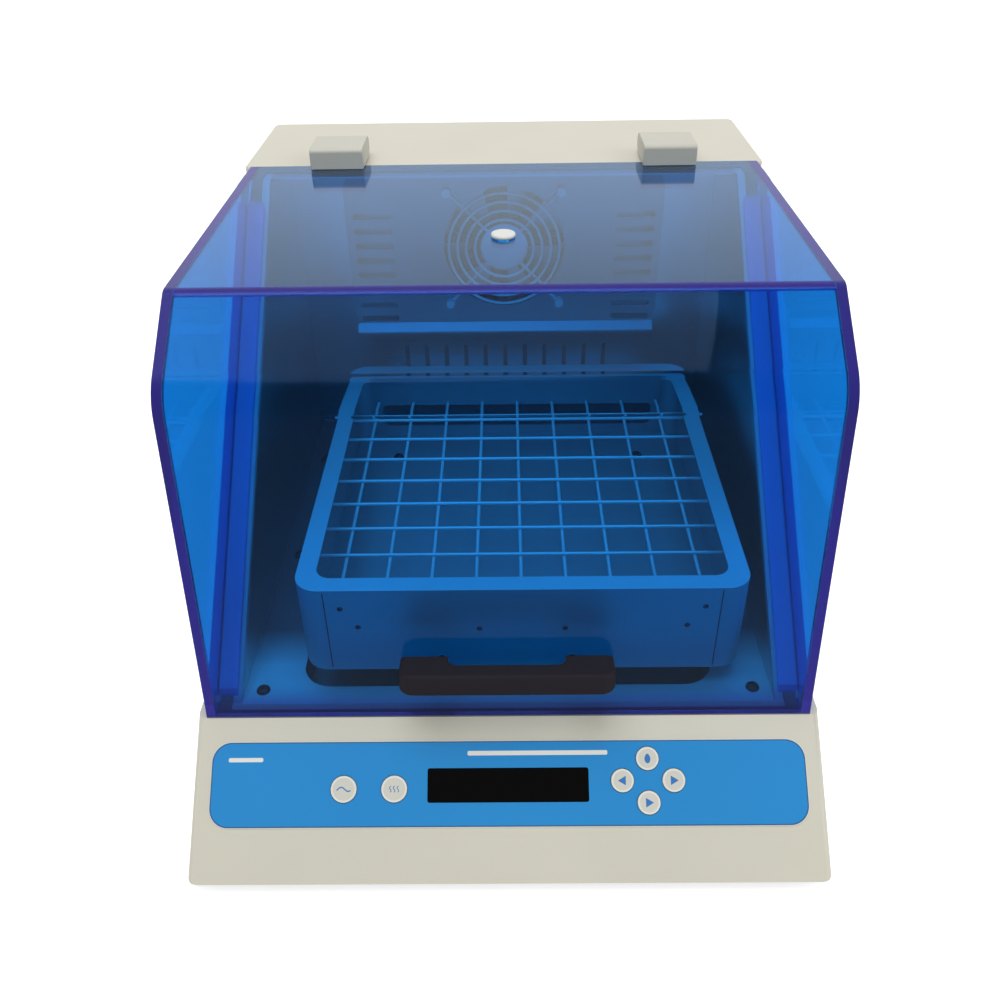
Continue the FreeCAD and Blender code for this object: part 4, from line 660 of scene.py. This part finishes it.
# %% [markdown]
# ## Fan guard
# Four rings of wire are welded to four struts that run behind them, with a pressed disc in the middle and a
# post at each strut's end. The rings could be four tori, but circles scaled by their number in the row keep
# one wire thickness, because the wire's section is swept after the scaling. The tree draws the guard lying
# flat.

# %% Rings that shrink by their number
INNER_RING, WIRE_ROUND, RING_ROUND = 0.53, 10, 72
ring_guard, given = start_tree("ring_guard", Middle="Vector", Outer="Float", Wire="Float", Rings="Int",
                               Hub="Float", Reach="Float", Stand="Float", Post="Float")
section = add(ring_guard, "GeometryNodeCurvePrimitiveCircle", {"Resolution": WIRE_ROUND},
              {"Radius": given["Wire"]})
circle = add(ring_guard, "GeometryNodeCurvePrimitiveCircle", {"Resolution": RING_ROUND},
             {"Radius": given["Outer"]})
number = add(ring_guard, "GeometryNodeInputIndex")
last = add(ring_guard, "ShaderNodeMath", {1: 1.0}, {0: given["Rings"]}, operation="SUBTRACT")
share = add(ring_guard, "ShaderNodeMapRange", {"To Min": 1.0, "To Max": INNER_RING},
            {"Value": number.outputs[0], "From Max": last.outputs[0]})
row = add(ring_guard, "GeometryNodeMeshLine", {"Offset": (0, 0, 0)}, {"Count": given["Rings"]})
rings = add(ring_guard, "GeometryNodeInstanceOnPoints", (),
            {"Points": row.outputs[0], "Instance": circle.outputs[0], "Scale": share.outputs[0]})
rings = add(ring_guard, "GeometryNodeRealizeInstances", (), {0: rings.outputs[0]})
rings = add(ring_guard, "GeometryNodeCurveToMesh", {"Fill Caps": True},
            {"Curve": rings.outputs[0], "Profile Curve": section.outputs[0]})
print("smallest ring, as a share of the largest:", INNER_RING)

# %% [markdown]
# ## Struts and posts
# Each strut runs from the disc to a post that holds the guard off the plate. One arm is drawn along X, a
# strut and a post joined, and copies of it are turned by quarters, starting at 45 degrees as on the real
# guard.

# %% One arm, turned four times
ARMS, POST_ROUND, POST_RISE = 4, 20, 0.002
behind = add(ring_guard, "ShaderNodeMath", {1: -2.0}, {0: given["Wire"]}, operation="MULTIPLY")
inner = add(ring_guard, "ShaderNodeCombineXYZ", (), {0: given["Hub"], 2: behind.outputs[0]})
outer = add(ring_guard, "ShaderNodeCombineXYZ", (), {0: given["Reach"], 2: behind.outputs[0]})
strut = add(ring_guard, "GeometryNodeCurvePrimitiveLine", (),
            {"Start": inner.outputs[0], "End": outer.outputs[0]})
strut = add(ring_guard, "GeometryNodeCurveToMesh", {"Fill Caps": True},
            {"Curve": strut.outputs[0], "Profile Curve": section.outputs[0]})
post_at = add(ring_guard, "ShaderNodeMath", (), {0: given["Reach"], 1: given["Post"]}, operation="ADD")
post_low = add(ring_guard, "ShaderNodeMath", {1: -1.0}, {0: given["Stand"]}, operation="MULTIPLY")
post_foot = add(ring_guard, "ShaderNodeCombineXYZ", (), {0: post_at.outputs[0], 2: post_low.outputs[0]})
post_head = add(ring_guard, "ShaderNodeCombineXYZ", {2: POST_RISE}, {0: post_at.outputs[0]})
post = add(ring_guard, "GeometryNodeCurvePrimitiveLine", (),
           {"Start": post_foot.outputs[0], "End": post_head.outputs[0]})
stem = add(ring_guard, "GeometryNodeCurvePrimitiveCircle", {"Resolution": POST_ROUND},
           {"Radius": given["Post"]})
post = add(ring_guard, "GeometryNodeCurveToMesh", {"Fill Caps": True},
           {"Curve": post.outputs[0], "Profile Curve": stem.outputs[0]})
arm = add(ring_guard, "GeometryNodeJoinGeometry", (), {0: strut.outputs[0]})
ring_guard.links.new(post.outputs[0], arm.inputs[0])
turn = add(ring_guard, "ShaderNodeMath", {1: 2 * math.pi / ARMS, 2: math.pi / ARMS}, {0: number.outputs[0]},
           operation="MULTIPLY_ADD")
turn = add(ring_guard, "ShaderNodeCombineXYZ", (), {2: turn.outputs[0]})
spots = add(ring_guard, "GeometryNodeMeshLine", {"Count": ARMS, "Offset": (0, 0, 0)})
arms = add(ring_guard, "GeometryNodeInstanceOnPoints", (),
           {"Points": spots.outputs[0], "Instance": arm.outputs[0], "Rotation": turn.outputs[0]})
print("arms of the guard:", ARMS)

# %% [markdown]
# ## Disc, and the guard stood up
# The disc in the middle is a thin pressing with a soft edge, so it is a ball flattened to its thickness.
# The whole guard is then turned to face the front and moved to its place, which is read from the frame's
# guard.

# %% Disc in the middle and the whole guard
DISC_THICK, DISC_SIDES, DISC_RINGS = 0.0016, 40, 12
disc = add(ring_guard, "GeometryNodeMeshUVSphere",
           {"Segments": DISC_SIDES, "Rings": DISC_RINGS, "Radius": 1.0})
flat = add(ring_guard, "ShaderNodeCombineXYZ", {2: DISC_THICK}, {0: given["Hub"], 1: given["Hub"]})
drop = add(ring_guard, "ShaderNodeCombineXYZ", (), {2: behind.outputs[0]})
disc = add(ring_guard, "GeometryNodeTransform", (),
           {"Geometry": disc.outputs[0], "Scale": flat.outputs[0], "Translation": drop.outputs[0]})
whole = add(ring_guard, "GeometryNodeJoinGeometry", (), {0: rings.outputs[0]})
for part in (arms, disc):
    ring_guard.links.new(part.outputs[0], whole.inputs[0])
stood = add(ring_guard, "GeometryNodeTransform", {"Rotation": (math.pi / 2, 0, 0)},
            {"Geometry": whole.outputs[0], "Translation": given["Middle"]})
end_tree(ring_guard, stood.outputs[0], given["Metal"])

RINGS, HUB_SHARE = 4, 0.41
POST, WIRE, EAR, STAND = 0.0036, 0.0013, 0.016, 0.0042
low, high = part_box("fan_guard")
reach = ((high.x - low.x) / 2 - POST) * math.sqrt(2) - POST
middle = [0.0, high.y - STAND, (low.z + high.z) / 2]
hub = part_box("fan_impeller")[1].x * HUB_SHARE
grown("fan_guard_rings", ring_guard, "fan_guard", Middle=middle, Outer=reach - EAR, Wire=WIRE, Rings=RINGS,
      Hub=hub, Reach=reach, Stand=STAND, Post=POST, Metal=guard_nickel)

# %% [markdown]
# ## Prints on the sloped panel
# The panel slopes up at about 40 degrees. A print could be modelled in place, but it is easier to draw it
# flat, in millimetres across and up the slope, and to let one matrix lay it on the face. The slope is read
# from the film's largest face, and each print starts from the middle of the piece it lies on.

# %% Lay a flat drawing on a piece
film_face = max(nodes["control_overlay"].data.polygons, key=lambda f: f.area * (f.normal.z > 0))
across = Vector((1, 0, 0))
out = film_face.normal.copy()
along = across.cross(-out).normalized()
along = along if along.z > 0 else -along


def laid(right, rise, outward, spot):
    columns = (right / MM_PER_M, rise / MM_PER_M, outward / MM_PER_M, spot)
    return Matrix([[c[i] for c in columns] for i in range(3)] + [[0, 0, 0, 1]])


def on_piece(node, x=0.0, rise=0.0):
    points = [v.co for v in nodes[node].data.vertices]
    heights = [p.dot(along) for p in points]
    sides = [p.x for p in points]
    level = (min(heights) + max(heights)) / 2 + rise / MM_PER_M
    spot = along * level + out * max(p.dot(out) for p in points)
    spot.x = (min(sides) + max(sides)) / 2 + x / MM_PER_M
    return laid(across, along, out, spot)


print("slope of the panel in degrees:", round(math.degrees(math.acos(out.z)), 1))

# %% [markdown]
# ## Ink as thin plates
# A screen print is a layer of ink a few hundredths of a millimetre thick. It could be a picture on the
# film, but a thin plate has a crisp edge at any distance. A plate fills a closed outline, and a ribbon is
# the stroke of a pen along a line of points, with its corners joined.

# %% Plates, ribbons and rounded bars
INK = 0.03


def plate(work, points, low=-INK, high=INK):
    # The outline runs counter-clockwise
    under = [work.verts.new((x, y, low)) for x, y in points]
    over = [work.verts.new((x, y, high)) for x, y in points]
    work.faces.new(over)
    work.faces.new(under[::-1])
    for i in range(len(points)):
        j = (i + 1) % len(points)
        work.faces.new((under[i], under[j], over[j], over[i]))


def ribbon(work, points, wide, closed=False, low=-INK, high=INK):
    count = len(points)
    corners = ((1, low), (1, high), (-1, high), (-1, low))
    rows = []
    for i, (x, y) in enumerate(points):
        ax, ay = points[(i - 1) % count] if closed else points[max(i - 1, 0)]
        bx, by = points[(i + 1) % count] if closed else points[min(i + 1, count - 1)]
        length = math.hypot(bx - ax, by - ay)
        nx, ny = -(by - ay) / length * wide / 2, (bx - ax) / length * wide / 2
        rows.append([work.verts.new((x + side * nx, y + side * ny, z)) for side, z in corners])
    for i in range(count if closed else count - 1):
        a, b = rows[i], rows[(i + 1) % count]
        for k in range(4):
            m = (k + 1) % 4
            work.faces.new((a[k], a[m], b[m], b[k]))
    if not closed:
        work.faces.new(rows[0][::-1])
        work.faces.new(rows[-1])


def rounded(wide, tall, radius, steps=8):
    points = []
    for cx, cy, start in ((1, -1, 270), (1, 1, 0), (-1, 1, 90), (-1, -1, 180)):
        for k in range(steps + 1):
            a = math.radians(start + 90 * k / steps)
            points.append((cx * (wide / 2 - radius) + radius * math.cos(a),
                           cy * (tall / 2 - radius) + radius * math.sin(a)))
    return points


print("thickness of ink in mm:", 2 * INK)

# %% [markdown]
# ## Bars and the line round the film
# Two white bars stand on the film, a short one at the left and a long one over the display, and a thin dark
# line of painted shade runs round its edge with the pale cut edge outside it. They stay on the film's body,
# so they are drawn like prints of their own and not as faces of the film.

# %% Print the film
BAR_ROUND, FILM_ROUND, DARK_LINE, MARGIN = 0.9, 12.0, 0.7, 0.6
MARGIN_LOW, MARGIN_HIGH = -0.55, -0.2
SHORT_BAR, SHORT_AT = (22, 2.6), (-167, 15.2)
LONG_BAR, LONG_AT = (89, 2.8), (18.8, 18.6)


def print_on(name, node, ink, place, draw):
    work = bmesh.new()
    draw(work)
    work.transform(place)
    bmesh.ops.recalc_face_normals(work, faces=work.faces)
    mesh = bpy.data.meshes.new(name)
    work.to_mesh(mesh)
    work.free()
    mesh.materials.append(ink)
    piece = put(name, mesh)
    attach(piece, body_of[node])


low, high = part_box("control_overlay")
heights = [v.co.dot(along) * MM_PER_M for v in nodes["control_overlay"].data.vertices]
film_wide, film_tall = (high.x - low.x) * MM_PER_M, max(heights) - min(heights)
line_path = rounded(film_wide - DARK_LINE, film_tall - DARK_LINE, FILM_ROUND)
margin_path = rounded(film_wide + MARGIN, film_tall + MARGIN, FILM_ROUND + MARGIN / 2)
film = on_piece("control_overlay")
print_on("short_bar_print", "control_overlay", ink_white, on_piece("control_overlay", *SHORT_AT),
         lambda work: plate(work, rounded(*SHORT_BAR, BAR_ROUND)))
print_on("long_bar_print", "control_overlay", ink_white, on_piece("control_overlay", *LONG_AT),
         lambda work: plate(work, rounded(*LONG_BAR, BAR_ROUND)))
# The dark line is painted shade along the film's edge
print_on("film_dark_line", "control_overlay", ink_edge, film,
         lambda work: ribbon(work, line_path, DARK_LINE, True))
print_on("film_clear_margin", "control_overlay", film_edge, film,
         lambda work: ribbon(work, margin_path, MARGIN, True, MARGIN_LOW, MARGIN_HIGH))
print("film in mm:", round(film_wide, 1), round(film_tall, 1))

# %% [markdown]
# ## Signs on the keys
# A wave stands for shaking and three rising lines for heat. The other four keys make a cross, with
# triangles on three of them, the lowest pointing to the right like the right-hand one, and a drop on the
# upper one. Waves and drop are formulas, so they can be drawn at any size, and a triangle is its three
# corners.

# %% Shapes of the signs
TIP, BACK, HALF = 3.0, -2.0, 2.9
WAVE_LONG, WAVE_TALL, WAVE_START, WAVE_STEPS, WAVE_PEN = 8.8, 1.25, 2.6, 24, 0.75
HEAT_TALL, HEAT_APART, HEAT_SWING, HEAT_TURNS, HEAT_STEPS, HEAT_PEN = 3.8, 2.4, 0.55, 1.1, 12, 0.5
DROP_WIDE, DROP_TALL, DROP_TAPER, DROP_STEPS = 1.9, 3.0, 0.25, 28


def turns(steps, count=1.0):
    return [2 * math.pi * count * k / steps for k in range(steps + 1)]


triangle = [(BACK, -HALF), (TIP, 0), (BACK, HALF)]
back_triangle = [(-x, -y) for x, y in triangle]
wave = [(WAVE_LONG * (k / WAVE_STEPS - 0.5), -WAVE_TALL * math.sin(a + WAVE_START))
        for k, a in enumerate(turns(WAVE_STEPS))]
heat = [[(x + HEAT_SWING * math.sin(a), HEAT_TALL * (k / HEAT_STEPS - 0.5))
         for k, a in enumerate(turns(HEAT_STEPS, HEAT_TURNS))] for x in (-HEAT_APART, 0, HEAT_APART)]
drop = [(DROP_WIDE * math.cos(a) * (1 - DROP_TAPER * max(0, math.sin(a))), DROP_TALL * math.sin(a))
        for a in turns(DROP_STEPS)[:-1]]
signs = {
    "key_wave": lambda work: ribbon(work, wave, WAVE_PEN),
    "key_heat": lambda work: [ribbon(work, stroke, HEAT_PEN) for stroke in heat],
    "key_up": lambda work: plate(work, drop),
    "key_left": lambda work: plate(work, back_triangle),
    "key_right": lambda work: plate(work, triangle),
    "key_down": lambda work: plate(work, triangle),
}
print("signs:", len(signs))

# %% [markdown]
# ## Rings on the keys
# Each key has a white ring inside its moulded lip. It is printed with the sign and moves with its own key,
# so it takes its size from that key's box.

# %% Print the keys
KEY_LIP, KEY_EDGE, RING_WIDE, RING_STEPS = 1.4, 0.45, 1.1, 48
for node, draw in signs.items():
    low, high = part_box(node)
    rim = (high.x - low.x) / 2 * MM_PER_M - KEY_LIP - KEY_EDGE - RING_WIDE / 2
    ring = [(rim * math.cos(a), rim * math.sin(a)) for a in turns(RING_STEPS)[:-1]]
    print_on(node + "_sign", node, ink_blue, on_piece(node), draw)
    print_on(node + "_ring", node, ink_white, on_piece(node),
             lambda work: ribbon(work, ring, RING_WIDE, True))
print("keys printed:", len(signs))

# %% [markdown]
# ## Painted shade in the tray's fold lines
# The tray is one blank, folded up, and its side walls wrap round to the front, where a thin upright line
# shows at each corner. A groove in the frame would be finer than its faces, so the shade in the groove is
# painted: a dark strip let into the wall, drawn like a print.

# %% Fold lines at the tray's front corners
FOLD_IN, FOLD_WIDE, FOLD_CLEAR, FOLD_ROUND, FOLD_STEPS = 0.019, 0.6, 4.0, 0.3, 2
FOLD_LOW, FOLD_HIGH = -0.9, -0.15
fold_tall = (tray_high.z - tray_low.z) * MM_PER_M - FOLD_CLEAR
fold_path = rounded(FOLD_WIDE, fold_tall, FOLD_ROUND, FOLD_STEPS)
for side, sx in (("left", -1), ("right", 1)):
    spot = Vector((tray_mid + sx * (tray_half - FOLD_IN), tray_low.y, (tray_low.z + tray_high.z) / 2))
    print_on("tray_fold_" + side, "tray", fold_dark, laid(across, up, front, spot),
             lambda work: plate(work, fold_path, FOLD_LOW, FOLD_HIGH))
print("fold lines in mm:", round(fold_tall, 1))

# %% [markdown]
# ## Floor and sky
# A large pale floor under an even white sky gives the soft light of a studio tent. Floor and sky are near
# white to the camera, to mirrors and to clear pieces, and dimmer as a source of light. Lamps could do all
# of it, but they would show in the acrylic. One function finds which kind of ray is looking.

# %% Floor and sky
FLOOR_HALF, FLOOR_GLOW, SKY_SEEN, SKY_LIGHT = 8, 0.6, 1.0, 0.69
WHITE = (1, 1, 1, 1)


def looked_at(tree):
    path = add(tree, "ShaderNodeLightPath").outputs
    mirrored = add(tree, "ShaderNodeMath", (), {0: path["Is Camera Ray"], 1: path["Is Glossy Ray"]},
                   operation="MAXIMUM")
    return add(tree, "ShaderNodeMath", (), {0: mirrored.outputs[0], 1: path["Is Transmission Ray"]},
               operation="MAXIMUM").outputs[0]


# Matt board: a clean light grey with no shine
board, paper = blank("matt_studio_board")
glow = add(paper, "ShaderNodeMath", {1: FLOOR_GLOW}, {0: looked_at(paper)}, operation="MULTIPLY")
glow = add(paper, "ShaderNodeEmission", {"Color": WHITE}, {"Strength": glow.outputs[0]})
matt = add(paper, "ShaderNodeBsdfDiffuse", {"Color": linear("#E4E4E4")})
both = add(paper, "ShaderNodeAddShader", (), {0: glow.outputs[0], 1: matt.outputs[0]})
add(paper, "ShaderNodeOutputMaterial", (), {"Surface": both.outputs[0]})
corners = [(x * FLOOR_HALF, y * FLOOR_HALF, 0) for x, y in ((-1, -1), (1, -1), (1, 1), (-1, 1))]
floor_mesh = bpy.data.meshes.new("studio_floor")
floor_mesh.from_pydata(corners, [], [(0, 1, 2, 3)])
floor_mesh.materials.append(board)
put("studio_floor", floor_mesh)

world = bpy.data.worlds.new("studio_sky")
bpy.context.scene.world = world
world.use_nodes = True
sky = world.node_tree
sky.nodes.clear()
level = add(sky, "ShaderNodeMapRange", {"To Min": SKY_LIGHT, "To Max": SKY_SEEN}, {"Value": looked_at(sky)})
back = add(sky, "ShaderNodeBackground", {"Color": WHITE}, {"Strength": level.outputs[0]})
add(sky, "ShaderNodeOutputWorld", (), {"Surface": back.outputs[0]})
print("sky to the eye:", SKY_SEEN, "as light:", SKY_LIGHT)

# %% [markdown]
# ## Lamps and camera
# One broad lamp overhead gives the shadow under the handle, and a weaker one at the right opens the dark
# side. The camera looks down at about 35 degrees from close by, as the object's strong perspective asks,
# and it is turned in three steps that a photographer would know: round, down and a slight tilt.

# %% Lamps and camera
AIM = (0, 0, 0.15)
LENS, SENSOR, EYE_AT = 34.67, 36.0, (0.0022, -0.6144, 0.5478)
YAW, LOOK_DOWN, ROLL = 0.66, 35.41, -0.89


def softbox(name, size, power, spot):
    data = bpy.data.lights.new(name, "AREA")
    data.shape, data.size, data.energy = "DISK", size, power
    lamp = put(name, data)
    lamp.location = spot
    lamp.rotation_euler = (Vector(AIM) - Vector(spot)).to_track_quat("-Z", "Y").to_euler()


softbox("softbox_overhead", size=1.8, power=22.0, spot=(-0.3, -0.25, 2.4))
softbox("softbox_right", size=1.4, power=9.0, spot=(1.8, -0.6, 1.4))

eye = bpy.data.cameras.new("bench_camera")
eye.lens, eye.sensor_width = LENS, SENSOR
camera = put("bench_camera", eye)
camera.matrix_world = (Matrix.Translation(EYE_AT) @ Matrix.Rotation(math.radians(YAW), 4, "Z")
                       @ Matrix.Rotation(math.radians(90 - LOOK_DOWN), 4, "X")
                       @ Matrix.Rotation(math.radians(ROLL), 4, "Z"))
bpy.context.scene.camera = camera
bpy.context.scene.view_settings.view_transform = "Standard"
print("camera height in mm:", round(camera.location.z * MM_PER_M))
